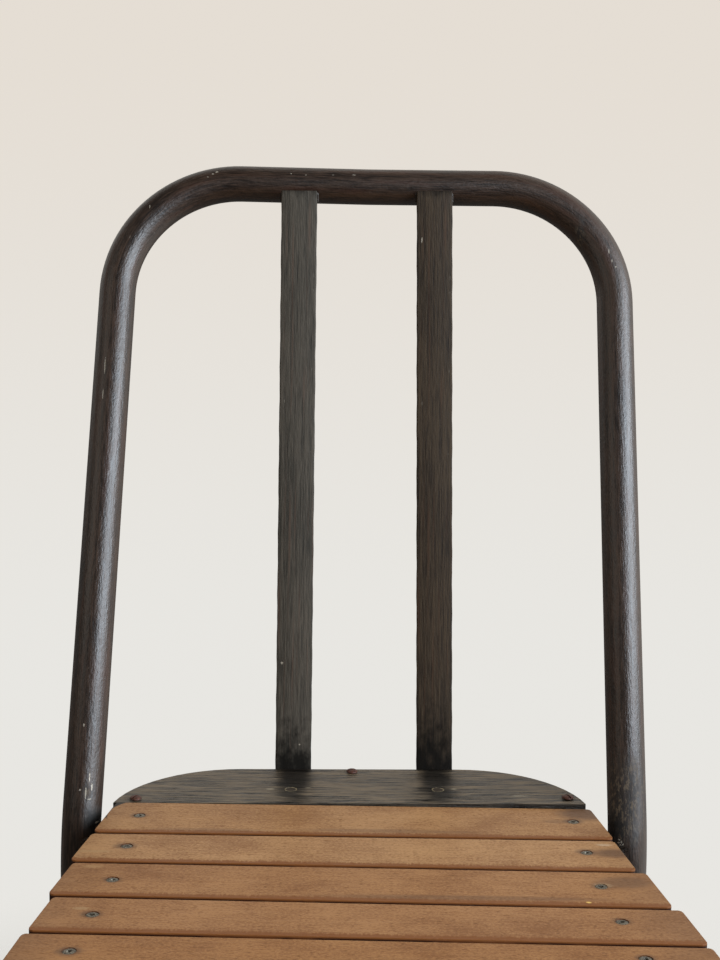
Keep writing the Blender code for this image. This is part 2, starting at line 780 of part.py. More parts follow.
hoop_clearance = build_hoop()
for bar_name, (bar_centre, bar_lean) in BAR_SIDES.items():
    build_bar(bar_name, bar_centre, bar_lean)
slat_holes = build_slats()
screw_holes, bolt_holes = build_board()
build_ring(slat_holes + screw_holes)
build_front_rail()
build_strap(bolt_holes + screw_holes)
leg_clearances = {}
for leg_name, leg_side in SIDES:
    build_lug(leg_name, leg_side, hoop_clearance)
    leg_clearances[leg_name] = build_front_leg(leg_name, leg_side)
build_stretchers(hoop_clearance, leg_clearances)
build_feet()
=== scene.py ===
import math
import random
import bmesh
import bpy
from mathutils import Matrix, Vector


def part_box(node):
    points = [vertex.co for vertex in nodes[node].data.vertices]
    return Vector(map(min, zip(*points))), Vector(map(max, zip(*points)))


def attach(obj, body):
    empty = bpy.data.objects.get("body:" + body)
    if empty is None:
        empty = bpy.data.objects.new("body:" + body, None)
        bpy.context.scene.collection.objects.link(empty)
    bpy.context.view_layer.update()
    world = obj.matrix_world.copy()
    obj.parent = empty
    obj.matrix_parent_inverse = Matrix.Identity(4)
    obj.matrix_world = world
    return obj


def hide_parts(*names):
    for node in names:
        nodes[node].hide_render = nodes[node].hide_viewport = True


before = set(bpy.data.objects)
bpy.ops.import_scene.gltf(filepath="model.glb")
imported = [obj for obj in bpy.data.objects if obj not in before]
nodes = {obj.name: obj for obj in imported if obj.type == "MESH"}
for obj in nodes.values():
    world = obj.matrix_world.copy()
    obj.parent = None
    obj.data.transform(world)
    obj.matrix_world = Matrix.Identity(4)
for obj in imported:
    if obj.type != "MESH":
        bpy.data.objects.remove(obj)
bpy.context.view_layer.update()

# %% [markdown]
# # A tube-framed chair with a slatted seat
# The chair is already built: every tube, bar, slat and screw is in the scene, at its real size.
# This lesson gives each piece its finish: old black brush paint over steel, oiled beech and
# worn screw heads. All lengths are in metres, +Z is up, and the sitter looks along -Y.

SIDES = (("left", -1), ("right", 1))

# %% [markdown]
# ## The camera
# Seen from close in front and a little above its seat, a chair shows its seat foreshortened and
# its back tall. The camera could be aimed by eye, but here its place, tilt, turn and roll are
# given as numbers, so that the picture frames the chair in the same way each time. A lens of
# 50.6 mm on a 36 mm sensor gives a picture 960 pixels high a focal length of 1350 pixels.

# %% Camera
CAMERA_PLACE = Vector((-0.0086, -0.7550, 0.7687))
CAMERA_TILT_DOWN = math.radians(7.04)
CAMERA_TURN_RIGHT = math.radians(0.481)
CAMERA_ROLL = math.radians(1.021)
LENS = 50.625
SENSOR = 36.0

camera = bpy.data.objects.new("camera", bpy.data.cameras.new("camera"))
camera.data.lens = LENS
camera.data.sensor_width = SENSOR
camera.data.clip_start = 0.01
turn = Matrix.Rotation(-CAMERA_TURN_RIGHT, 4, "Z")
tilt = Matrix.Rotation(math.pi / 2 - CAMERA_TILT_DOWN, 4, "X")
roll = Matrix.Rotation(CAMERA_ROLL, 4, "Z")
camera.matrix_world = Matrix.Translation(CAMERA_PLACE) @ turn @ tilt @ roll
bpy.context.scene.collection.objects.link(camera)
bpy.context.scene.camera = camera
print("camera at", [round(value, 3) for value in camera.matrix_world.translation])

# %% [markdown]
# ## Shader sums written as Python
# A finish is mostly sums: a noise, scaled and added to another, and cut off at a level. In the
# node editor each sum is a Math node with wires. A small class that wraps a socket can add
# those nodes by itself, so that `1 - worn * 0.5` reads as it would on paper. Any other node
# comes from its one method, which takes the node's type, its settings and its sockets.

# %% The socket wrapper
def plug(socket, value):
    """Link a socket to a Shade, or set it to a plain value."""
    if isinstance(value, Shade):
        value.tree.links.new(value.socket, socket)
    elif socket.type == "RGBA":
        socket.default_value = (*value, 1.0)
    else:
        socket.default_value = value


class Shade:
    """A socket of a node tree. Sums with it add Math nodes."""

    def __init__(self, tree, socket=None):
        self.tree = tree
        self.socket = socket

    def node(self, kind, settings=None, sockets=None, out=0):
        """One output of a new node, after its settings and its sockets are set."""
        made = self.tree.nodes.new("ShaderNode" + kind)
        for name, value in (settings or {}).items():
            setattr(made, name, value)
        for name, value in (sockets or {}).items():
            plug(made.inputs[name], value)
        return Shade(self.tree, made.outputs[out])

    def sum(self, operation, first, second=0.0):
        """A Math node. Its second number counts for nothing where a sum has only one."""
        return self.node("Math", {"operation": operation}, {0: first, 1: second})

    def __add__(self, other):
        return self.sum("ADD", self, other)

    def __sub__(self, other):
        return self.sum("SUBTRACT", self, other)

    def __rsub__(self, other):
        return self.sum("SUBTRACT", other, self)

    def __mul__(self, other):
        return self.sum("MULTIPLY", self, other)

    __radd__ = __add__
    __rmul__ = __mul__

    def at_least(self, other):
        return self.sum("MAXIMUM", self, other)


print("socket wrapper ready")

# %% Steps, mixes and noises
def step(value, low, high):
    """0 below low, 1 above high, and a smooth climb between them."""
    settings = {"interpolation_type": "SMOOTHSTEP"}
    return value.node("MapRange", settings, {0: value, 1: low, 2: high})


def mix(factor, first, second):
    """First colour where the factor is 0, second where it is 1."""
    return factor.node("Mix", {"data_type": "RGBA"}, {0: factor, 6: first, 7: second}, out=2)


def noise(position, scale, stretch=(1, 1, 1), detail=3.0, roughness=0.55, shift=(0, 0, 0)):
    """Soft noise from 0 to 1. A stretch below 1 draws it out along that axis."""
    sockets = {"Location": shift, "Scale": stretch, "Vector": position}
    moved = position.node("Mapping", {}, sockets)
    sockets = {"Vector": moved, "Scale": scale, "Detail": detail, "Roughness": roughness}
    return position.node("TexNoise", {}, sockets)


def part_of(position, axis):
    """One of the three numbers of a place: 0 for X, 1 for Y, 2 for Z."""
    return position.node("SeparateXYZ", {}, {0: position}, out=axis)


def tinted(colour, tint):
    return tuple(value * factor for value, factor in zip(colour, tint))


print("patterns ready")

# %% Marks at named places
RAGGEDNESS = 1.2


def spot(position, centre, radii, ragged=None, softness=0.35):
    """1 inside an ellipsoid round a point, with a soft or ragged rim."""
    off = position.node("VectorMath", {"operation": "SUBTRACT"}, {0: position, 1: centre})
    scaled = position.node("VectorMath", {"operation": "DIVIDE"}, {0: off, 1: radii})
    length = position.node("VectorMath", {"operation": "LENGTH"}, {0: scaled}, out=1)
    if ragged:
        length = length + (ragged - 0.5) * RAGGEDNESS
    return 1 - step(length, 1 - softness, 1.0)


def spots(position, marks, ragged=None, softness=0.35):
    """The greatest of several spots, and nothing at all where there are none."""
    total = position * 0.0
    for centre, radii in marks:
        total = total.at_least(spot(position, centre, radii, ragged, softness))
    return total


print("marks ready")

# %% Materials and their sockets
# Numbers of the outputs that hold a place on the object itself and a face's own direction
OWN_PLACE = 3
FACE_NORMAL = 1


def start_finish(name):
    """A new material, its Principled shader and the place of each surface point."""
    material = bpy.data.materials.new(name)
    material.use_nodes = True
    shader = material.node_tree.nodes["Principled BSDF"]
    position = Shade(material.node_tree).node("TexCoord", out=OWN_PLACE)
    return material, shader, position


def wire(shader, **values):
    """Set or link sockets of a Principled shader, named with _ for each blank."""
    for name, value in values.items():
        plug(shader.inputs[name.replace("_", " ")], value)


def relief(height, depth):
    """A bump of the given depth in metres from a height of 0 to 1."""
    return height.node("Bump", {}, {"Height": height, "Distance": depth, "Strength": 1.0})


print("material helpers ready")

# %% [markdown]
# ## Stage and light
# The chair stands before a pale backdrop. A sheet could be modelled, but it would hide the chair
# from behind, so the backdrop is the world's colour as the camera sees it, warmer above and
# whiter below, and the floor is a disc that fades into it. Glossy surfaces see the backdrop
# behind the chair and a dim room in front of it, which is what gives black paint its depth.

# %% World
BACKDROP = (0.792, 0.768, 0.723)
BACKDROP_HIGH = (0.783, 0.727, 0.658)
BACKDROP_LOW = (0.807, 0.795, 0.760)
DIM_ROOM = (0.020, 0.018, 0.016)
AMBIENT_ABOVE = (0.45, 0.43, 0.39)
AMBIENT_BELOW = (0.10, 0.09, 0.075)
WINDOW_SIDE_SHARE = 0.75
OVERHEAD_LOSS = 0.30
LEAST_LIT = 0.15

# Where each change of tone begins and ends, as a part of the direction looked in
AMBIENT_CLIMB = (-0.4, 0.5)
UPPER_CLIMB = (0.02, 0.22)
WINDOW_CLIMB = (0.35, 0.85)
BRIGHT_CLIMB = (-0.25, 0.45)
BACKDROP_CLIMB = (-0.28, 0.22)

# Outputs of the Light Path node: what the camera sees, what gloss sees, what glass lets through
CAMERA_RAY = 0
GLOSSY_RAY = 3
THROUGH_RAY = 6

scene = bpy.context.scene
scene.view_settings.view_transform = "Standard"
world = bpy.data.worlds.new("pale_room")
scene.world = world
world.use_nodes = True
sky = Shade(world.node_tree)
direction = sky.node("TexCoord")
rightward = part_of(direction, 0)
backward = part_of(direction, 1)
upward = part_of(direction, 2)
ambient = mix(step(upward, *AMBIENT_CLIMB), AMBIENT_BELOW, AMBIENT_ABOVE)
towards_backdrop = backward + rightward.at_least(0.0) * WINDOW_SIDE_SHARE
towards_backdrop = towards_backdrop - upward.at_least(0.0) * OVERHEAD_LOSS
upper_part = step(upward, *UPPER_CLIMB)
window_side = step(rightward, *WINDOW_CLIMB)
lit = upper_part.at_least(window_side) * (1 - LEAST_LIT) + LEAST_LIT
bright = step(towards_backdrop, *BRIGHT_CLIMB) * lit
reflected = mix(bright, DIM_ROOM, BACKDROP)
room = mix(sky.node("LightPath", out=GLOSSY_RAY), ambient, reflected)
backdrop = mix(step(upward, *BACKDROP_CLIMB), BACKDROP_LOW, BACKDROP_HIGH)
seen = sky.node("LightPath", out=CAMERA_RAY).at_least(sky.node("LightPath", out=THROUGH_RAY))
colour = mix(seen, room, backdrop)
plug(world.node_tree.nodes["Background"].inputs["Color"], colour)
print("world ready")

# %% Floor
# Gloss and bounced light find a darker floor than the camera, so the seat stays dim below.
FLOOR = (0.92, 0.90, 0.86)
FLOOR_SPECKLE = 0.985
FLOOR_MIRRORED = (0.12, 0.11, 0.10)
FLOOR_BOUNCE = (0.11, 0.10, 0.085)
FLOOR_FADE_FROM = 0.60
FLOOR_FADE_TO = 1.05
FLOOR_SIDES = 96
SPECKLE_SCALE = 60.0

bpy.ops.mesh.primitive_circle_add(vertices=FLOOR_SIDES, radius=FLOOR_FADE_TO, fill_type="NGON")
floor = bpy.context.active_object
floor.name = "floor"
material, shader, position = start_finish("floor_paint")
distance = position.node("VectorMath", {"operation": "LENGTH"}, {0: position}, out=1)
pale = mix(noise(position, SPECKLE_SCALE), tinted(FLOOR, (FLOOR_SPECKLE,) * 3), FLOOR)
bounce = mix(position.node("LightPath", out=GLOSSY_RAY), FLOOR_BOUNCE, FLOOR_MIRRORED)
seen = position.node("LightPath", out=CAMERA_RAY)
seen = seen.at_least(position.node("LightPath", out=THROUGH_RAY))
kept = 1 - step(distance, FLOOR_FADE_FROM, FLOOR_FADE_TO)
wire(shader, Base_Color=mix(seen, bounce, pale), Roughness=0.8, Alpha=kept)
floor.data.materials.append(material)
print("floor radius:", FLOOR_FADE_TO)

# %% Lamps
# One broad soft window to the right of the camera draws the long sheen on the tubes. A second,
# weaker one from the left keeps the other side readable.
def soft_lamp(name, place, target, width, height, power, colour):
    """A lamp with a wide face, turned towards a target."""
    lamp = bpy.data.objects.new(name, bpy.data.lights.new(name, "AREA"))
    lamp.data.shape = "RECTANGLE"
    lamp.data.size = width
    lamp.data.size_y = height
    lamp.data.energy = power
    lamp.data.color = colour
    lamp.location = place
    aim = Vector(target) - Vector(place)
    lamp.rotation_euler = aim.to_track_quat("-Z", "Y").to_euler()
    scene.collection.objects.link(lamp)
    print(name, "at", place)


soft_lamp(
    "window", place=(1.95, -1.04, 1.50), target=(0.0, 0.1, 0.60),
    width=2.40, height=1.10, power=86.0, colour=(0.81, 0.90, 1.0),
)
soft_lamp(
    "fill", place=(-1.5, -1.0, 1.5), target=(0.0, 0.0, 0.5),
    width=1.2, height=1.2, power=4.0, colour=(1.0, 0.92, 0.82),
)

# %% [markdown]
# ## Round tubes
# The solid model draws its tubes with sixteen flat sides or fewer, which is enough to hold the
# chair up and too coarse to catch a window's reflection. Here each tube is swept again along
# the same line with many sides. A curve with a bevel would do that too, but a sweep written out
# can also store, at each point, where it would lie if the tube were pulled straight. The brush
# marks of the paint then follow the tube round its bends.

# %% Rounded corners of a line
def fillet(points, radii, steps):
    """Round the inner corners of an open line of points with arcs of the given radii."""
    points = [Vector(point) for point in points]
    result = [points[0]]
    for index, radius in enumerate(radii, start=1):
        corner = points[index]
        if radius <= 0.0:
            result.append(corner)
            continue
        before = (points[index - 1] - corner).normalized()
        after = (points[index + 1] - corner).normalized()
        opening = before.angle(after)
        centre = corner + (before + after).normalized() * (radius / math.sin(opening / 2))
        start = corner + before * (radius / math.tan(opening / 2)) - centre
        end = corner + after * (radius / math.tan(opening / 2)) - centre
        bend = start.angle(end)
        for number in range(steps + 1):
            share = number / steps
            part = start * math.sin((1 - share) * bend) + end * math.sin(share * bend)
            result.append(centre + part / math.sin(bend))
    result.append(points[-1])
    return result


print("fillet ready")

# %% Rings and pieces
CREASE_ANGLE = math.radians(50)


def circle(radius, count):
    """Evenly spaced points once round a circle."""
    angles = [2 * math.pi * number / count for number in range(count)]
    return [(math.cos(angle) * radius, math.sin(angle) * radius) for angle in angles]


def bridge(shape, first, second):
    """Faces from one ring of points to the next. Either ring can be a single point."""
    count = max(len(first), len(second))
    for number in range(count):
        after = (number + 1) % count
        corners = [first[number % len(first)], first[after % len(first)]]
        corners += [second[after % len(second)], second[number % len(second)]]
        shape.faces.new(list(dict.fromkeys(corners)))


def stand(name, mesh, place=(0, 0, 0), turned_by=(0, 0, 0)):
    """An object that stands still with the chair."""
    piece = bpy.data.objects.new(name, mesh)
    scene.collection.objects.link(piece)
    piece.location = place
    piece.rotation_euler = turned_by
    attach(piece, "root")
    return piece


def new_piece(name, shape):
    """A smooth-shaded piece from the faces of a shape."""
    bmesh.ops.recalc_face_normals(shape, faces=shape.faces)
    mesh = bpy.data.meshes.new(name)
    shape.to_mesh(mesh)
    shape.free()
    mesh.shade_smooth()
    mesh.set_sharp_from_angle(angle=CREASE_ANGLE)
    return stand(name, mesh)


print("ring helpers ready")

# %% A sweep along a line
def sweep(name, line, outline_at, loop_centre=None, width_axis=None):
    """Closed mesh of an outline carried along a line.

    It is a ring where the centre of a loop is given. A width axis keeps a flat bar from
    turning about its line.
    """
    shape = bmesh.new()
    straight = shape.verts.layers.float_vector.new("straight")
    last = len(line) - 1
    rings = []
    run = 0.0
    across = None
    for index, point in enumerate(line):
        if loop_centre is None:
            along = (line[min(index + 1, last)] - line[max(index - 1, 0)]).normalized()
            across = width_axis or across or along.orthogonal()
        else:
            along = (line[(index + 1) % len(line)] - line[index - 1]).normalized()
            across = point - loop_centre
        across = (across - along * across.dot(along)).normalized()
        other = along.cross(across)
        if index:
            run += (point - line[index - 1]).length
        ring = []
        for u, v in outline_at(run):
            vert = shape.verts.new(point + across * u + other * v)
            vert[straight] = Vector((u, v, run))
            ring.append(vert)
        rings.append(ring)
    if loop_centre is None:
        shape.faces.new(rings[0])
        shape.faces.new(rings[-1])
    else:
        rings.append(rings[0])
    for first, second in zip(rings, rings[1:]):
        bridge(shape, first, second)
    return new_piece(name, shape)


print("sweep ready")

# %% The hoop, the legs and the stretchers
# The same corner points and bend radii as in the solid model
TUBE_RADIUS = 0.0125
TUBE_SIDES = 40
THIN_TUBE_SIDES = 28
BEND_STEPS = 28
HOOP_CORNERS = (
    (-0.1850, 0.1948, 0.0100),
    (-0.1783, 0.0786, 0.4150),
    (-0.1722, 0.2316, 0.8597),
    (0.0023, 0.2316, 0.8585),
    (0.1768, 0.2316, 0.8597),
    (0.1762, 0.0786, 0.4150),
    (0.1850, 0.1948, 0.0100),
)
KNEE_BEND = 0.120
TOP_BEND = 0.0845
LEG_TOP = Vector((0.1469, -0.2125, 0.4349))
LEG_END = Vector((0.1773, -0.2287, 0.0100))
STRETCHER_RADIUS = 0.0080
CROSS_RADIUS = 0.0070
STRETCHER_FRONT = Vector((0.1662, -0.2228, 0.1650))
STRETCHER_REAR = {
    "left": Vector((-0.1824, 0.1504, 0.1650)),
    "right": Vector((0.1816, 0.1504, 0.1650)),
}


def mirrored(point, side):
    return Vector((point.x * side, point.y, point.z))


def tube(name, line, radius, sides):
    """A round tube of the same radius all along its line."""
    return sweep(name, line, lambda run: circle(radius, sides))


hoop_line = fillet(HOOP_CORNERS, (KNEE_BEND, TOP_BEND, 0.0, TOP_BEND, KNEE_BEND), BEND_STEPS)
tubes = {"back_hoop": tube("hoop_tube", hoop_line, TUBE_RADIUS, TUBE_SIDES)}
stretcher_lines = {}
for name, side in SIDES:
    line = [mirrored(LEG_TOP, side), mirrored(LEG_END, side)]
    tubes["front_leg_" + name] = tube("leg_tube_" + name, line, TUBE_RADIUS, TUBE_SIDES)
    line = [mirrored(STRETCHER_FRONT, side), STRETCHER_REAR[name]]
    stretcher_lines[name] = line
    tubes["side_stretcher_" + name] = tube(
        "stretcher_tube_" + name, line, STRETCHER_RADIUS, THIN_TUBE_SIDES)
cross_line = [(line[0] + line[1]) / 2 for line in stretcher_lines.values()]
tubes["cross_stretcher"] = tube("cross_tube", cross_line, CROSS_RADIUS, THIN_TUBE_SIDES)
for node, piece in tubes.items():
    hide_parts(node)
print("tubes:", sorted(tubes))

# %% [markdown]
# ## Weld beads
# Each joint of the frame is a weld under the paint: a low lumpy bead where two pieces meet. A
# bump in the paint could hint at it, but a bead shows in the outline too, so it is a thin sweep
# whose radius rises and falls along its length, as the welder's hand did. A bead round a stub
# tube follows the saddle line where the two tubes cross.

# %% One bead
# The lumps are shares of the radius, each with the rate at which it comes back along the bead
RIPPLE = 0.0026
RIPPLE_SHARE = 0.06
SLOW_SWELL = 0.16
SLOW_RATE = 610
QUICK_SWELL = 0.10
QUICK_RATE = 1370
BEAD_SIDES = 10
BEAD_SPACING = 0.0009
SADDLE_POINTS = 40
beads = []


def bead(name, line, radius, loop_centre=None):
    """A lumpy weld along a line, or round a loop where its centre is given."""
    def lumpy(run):
        ripple = RIPPLE_SHARE * math.sin(2 * math.pi * run / RIPPLE)
        swell = SLOW_SWELL * math.sin(run * SLOW_RATE + len(name))
        swell += QUICK_SWELL * math.sin(run * QUICK_RATE)
        return circle(radius * (1 + ripple + swell), BEAD_SIDES)

    beads.append(sweep("weld_" + name, line, lumpy, loop_centre))


def centre_of(line):
    """Mean of the points of a loop."""
    return sum(line, Vector()) / len(line)


def fine_line(points, spacing=BEAD_SPACING):
    """The same line with a point every so often."""
    result = []
    for first, second in zip(points, points[1:]):
        count = max(1, round((second - first).length / spacing))
        result.extend(first.lerp(second, number / count) for number in range(count))
    return result + [points[-1]]


def saddle(centre, main, branch, main_radius, branch_radius):
    """Closed line where a stub tube meets a main tube."""
    main = main.normalized()
    branch = branch.normalized()
    first = (main - branch * main.dot(branch)).normalized()
    second = branch.cross(first)
    sideways = branch - main * branch.dot(main)
    line = []
    for u, v in circle(1.0, SADDLE_POINTS):
        offset = (first * u + second * v) * branch_radius
        flat = offset - main * offset.dot(main)
        product = sideways.dot(flat)
        gap = flat.length_squared - main_radius ** 2
        reach = -product + math.sqrt(product ** 2 - sideways.length_squared * gap)
        line.append(centre + branch * reach / sideways.length_squared + offset)
    return line


def hoop_centre(side, height):
    """Centre of the hoop at a height on one side."""
    half = [point for point in hoop_line if point.x * side > 0]
    for first, second in zip(half, half[1:]):
        low, high = sorted((first.z, second.z))
        if low <= height <= high and high > low:
            return first.lerp(second, (height - first.z) / (second.z - first.z))


print("bead helpers ready")

# %% Beads at the stretchers and the leg tops
BEAD_RADIUS = 0.0017
CROSS_BEAD_RADIUS = BEAD_RADIUS * 0.8
LEG_TOP_POINTS = 60
NEAR_BY = 0.02
for name, side in SIDES:
    front, rear = stretcher_lines[name]
    leg = mirrored(LEG_TOP, side) - mirrored(LEG_END, side)
    line = saddle(front, leg, rear - front, TUBE_RADIUS, STRETCHER_RADIUS)
    bead("stretcher_front_" + name, line, BEAD_RADIUS, centre_of(line))
    rear_leg = hoop_centre(side, rear.z + NEAR_BY) - hoop_centre(side, rear.z - NEAR_BY)
    line = saddle(rear, rear_leg, front - rear, TUBE_RADIUS, STRETCHER_RADIUS)
    bead("stretcher_rear_" + name, line, BEAD_RADIUS, centre_of(line))
    inner = cross_line[0] if side < 0 else cross_line[1]
    line = saddle(inner, rear - front, Vector((-side, 0, 0)), STRETCHER_RADIUS, CROSS_RADIUS)
    bead("cross_" + name, line, CROSS_BEAD_RADIUS, centre_of(line))
    top = mirrored(LEG_TOP, side)
    line = [top + Vector((u, v, 0)) * TUBE_RADIUS for u, v in circle(1.0, LEG_TOP_POINTS)]
    bead("leg_top_" + name, line, BEAD_RADIUS, top)
print("beads:", len(beads))

# %% [markdown]
# ## Backrest bars
# Each bar is flat iron, hammered a little uneven along its edges, set on the ring below and
# ground off at the tube's middle above. A box would look machined, so the bar is a section
# with rounded arrises, carried along its bent line, whose width wavers by parts of a millimetre.

# %% Flat bars
BAR_WIDTH = 0.0250
BAR_THICKNESS = 0.0050
BAR_ARRIS = 0.0009
ARRIS_POINTS = 4
BAR_SIDE_VIEW = ((0.15905, 0.409), (0.15905, 0.423), (0.16318, 0.439))
BAR_SLOPE = 0.1244
BAR_BEND = 0.015
BAR_BEND_STEPS = 8
BAR_SPACING = 0.004
BAR_MIDDLE = {"left": -0.0443, "right": 0.0550}
BAR_LEAN = {"left": -0.006, "right": -0.016}
BAR_TOP = {"left": 0.8532, "right": 0.8546}
SEAT_HEIGHT = 0.450

# The wavering width: how far, how often along the bar, and how the two edges differ
BAR_WAVER = 0.00011
WAVER_RATE = 160
QUICK_WAVER_SHARE = 0.6
QUICK_WAVER_RATE = 2.7
EDGE_LAG = 2.0


def bar_point(name, y, z):
    return Vector((BAR_MIDDLE[name] + BAR_LEAN[name] * (z - SEAT_HEIGHT), y, z))


def bar_line(name):
    """Middle line of a bar from its foot to its top."""
    lower = BAR_SIDE_VIEW[-1]
    top = (lower[0] + BAR_SLOPE * (BAR_TOP[name] - lower[1]), BAR_TOP[name])
    points = [bar_point(name, y, z) for y, z in BAR_SIDE_VIEW + (top,)]
    return fillet(points, (BAR_BEND, BAR_BEND), BAR_BEND_STEPS)


def bar_outline(run):
    """Outline of the flat iron with rounded arrises, its width wavering along the bar."""
    half_width = BAR_WIDTH / 2 - BAR_ARRIS
    half_thickness = BAR_THICKNESS / 2 - BAR_ARRIS
    outline = []
    for quarter, (x, y) in enumerate(((1, 1), (-1, 1), (-1, -1), (1, -1))):
        for number in range(ARRIS_POINTS):
            angle = math.pi / 2 * (quarter + number / (ARRIS_POINTS - 1))
            u = x * half_width + BAR_ARRIS * math.cos(angle)
            v = y * half_thickness + BAR_ARRIS * math.sin(angle)
            phase = run * WAVER_RATE + (EDGE_LAG if u > 0 else 0.0)
            waver = math.sin(phase) + QUICK_WAVER_SHARE * math.sin(QUICK_WAVER_RATE * phase)
            outline.append((u + math.copysign(BAR_WAVER, u) * waver, v))
    return outline


bars = {}
for name, _ in SIDES:
    line = fine_line(bar_line(name), BAR_SPACING)
    bars[name] = sweep("flat_bar_" + name, line, bar_outline, width_axis=Vector((1, 0, 0)))
    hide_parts("back_bar_" + name)
print("bars:", sorted(bars))

# %% Beads at the bars
TOP_BEAD_RADIUS = 0.0009
TOP_BEAD_SETBACK = 0.0022
SIDE_BEAD_DROP = 0.0070
SIDE_BEAD_SETBACK = TOP_BEAD_SETBACK + 0.0014
BEAD_OFF_BAR = 0.0002
TOP_BEAD_BEND = 0.0020
TOP_BEAD_STEPS = 4
FOOT_BEAD_RADIUS = 0.0018
FOOT_BEAD_HALF = 0.010
FOOT_BEAD_OFF_RING = 0.0004
foot_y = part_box("seat_ring")[1].y + FOOT_BEAD_OFF_RING
for name, _ in SIDES:
    top = bar_line(name)[-1]
    half = BAR_WIDTH / 2 + BEAD_OFF_BAR
    ends = [
        top + Vector((half, SIDE_BEAD_SETBACK, -SIDE_BEAD_DROP)),
        top + Vector((half, TOP_BEAD_SETBACK, -BEAD_OFF_BAR)),
        top + Vector((-half, TOP_BEAD_SETBACK, -BEAD_OFF_BAR)),
        top + Vector((-half, SIDE_BEAD_SETBACK, -SIDE_BEAD_DROP)),
    ]
    line = fine_line(fillet(ends, (TOP_BEAD_BEND, TOP_BEAD_BEND), TOP_BEAD_STEPS))
    bead("bar_top_" + name, line, TOP_BEAD_RADIUS)
    low = bar_line(name)[0]
    ends = [Vector((low.x + reach, foot_y, low.z)) for reach in (-FOOT_BEAD_HALF, FOOT_BEAD_HALF)]
    bead("bar_foot_" + name, fine_line(ends), FOOT_BEAD_RADIUS)
print("beads:", len(beads))

# %% [markdown]
# ## Lugs
# Beside the first slat, a short plate on each side ties the hoop to the ring under the seat. It
# hardly shows, so a plain block would nearly do, but its edges catch the light. Each is a block
# that narrows towards the tube, with bevelled edges and a bead at each end.

# %% Lugs and their beads
LUG_SETBACK = 0.0100
LUG_LOWERED = 0.0060
LUG_TAPER = 0.0030
LUG_ARRIS = 0.0012
LUG_BEAD_RADIUS = 0.0020
BEAD_STEPS_ACROSS = 14
BEAD_STEPS_DOWN = 10


def lug_plate(name, side, low, high, ring_side, tube_side):
    """Bevelled block from the ring to the tube, between two corners of a box."""
    shape = bmesh.new()
    for vert in bmesh.ops.create_cube(shape, size=1.0)["verts"]:
        outer = vert.co.x * side > 0
        taper = LUG_TAPER if outer else 0.0
        vert.co.x = tube_side if outer else ring_side
        vert.co.y = high.y - taper if vert.co.y > 0 else low.y
        vert.co.z = high.z - taper if vert.co.z > 0 else low.z + taper
    bmesh.ops.bevel(
        shape, geom=shape.edges[:], offset=LUG_ARRIS, segments=3, profile=0.5, affect="EDGES")
    return new_piece("lug_plate_" + name, shape)


def lug_outline(side, low, high):
    """Closed line round the lug's end on the hoop's inner face."""
    line = []
    for height, next_height, start, end in (
            (high.z, low.z, low.y, high.y), (low.z, high.z, high.y, low.y)):
        centre = hoop_centre(side, height)
        for number in range(BEAD_STEPS_ACROSS + 1):
            y = start + (end - start) * number / BEAD_STEPS_ACROSS
            off = max(-TUBE_RADIUS, min(TUBE_RADIUS, y - centre.y))
            reach = math.sqrt(TUBE_RADIUS ** 2 - off ** 2)
            line.append(Vector((centre.x - side * reach, centre.y + off, height)))
        for number in range(1, BEAD_STEPS_DOWN):
            z = height + (next_height - height) * number / BEAD_STEPS_DOWN
            line.append(Vector((line[-1].x, line[-1].y, z)))
    return line


lugs = []
for name, side in SIDES:
    low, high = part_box("seat_lug_" + name)
    low.y += LUG_SETBACK
    high.z -= LUG_LOWERED
    ring_side = low.x if side > 0 else high.x
    tube_side = hoop_centre(side, (low.z + high.z) / 2).x - side * TUBE_RADIUS / 2
    lug = lug_plate(name, side, low, high, ring_side, tube_side)
    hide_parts("seat_lug_" + name)
    line = lug_outline(side, low, high)
    bead("lug_hoop_" + name, line, LUG_BEAD_RADIUS, centre_of(line))
    ends = [Vector((ring_side, low.y, high.z)), Vector((ring_side, high.y, high.z))]
    bead("lug_ring_" + name, fine_line(ends), LUG_BEAD_RADIUS)
    lugs.append(lug)
print("beads:", len(beads))

# %% [markdown]
# ## Screws with a cross recess
# The slats are held by countersunk screws with a cross-shaped recess. A plain disc would do
# from afar, but the recess is what the eye looks for. One screw is turned from a profile, the
# cross is cut out with a Boolean, and its mesh is shared by fourteen screws, each turned by a
# different angle, as no two screws stop at the same place.

# %% A turned shape and what is cut out of it
RECESS_CREASE = math.radians(32)


def turned(profile, facets):
    """Mesh of a profile of (radius, height) pairs spun round Z."""
    shape = bmesh.new()
    rings = []
    for radius, height in profile:
        points = circle(radius, facets if radius else 1)
        rings.append([shape.verts.new((x, y, height)) for x, y in points])
    for first, second in zip(rings, rings[1:]):
        bridge(shape, first, second)
    bmesh.ops.recalc_face_normals(shape, faces=shape.faces)
    return shape


def tapered_cutter(shape, reach, width, depth, deep_share):
    """Box with its bottom at a depth below 0, shorter there by a share of its reach."""
    for vert in bmesh.ops.create_cube(shape, size=1.0)["verts"]:
        deep = vert.co.z < 0
        vert.co.x *= 2 * reach * (deep_share if deep else 1.0)
        vert.co.y *= 2 * width
        vert.co.z = -depth if deep else 2 * depth


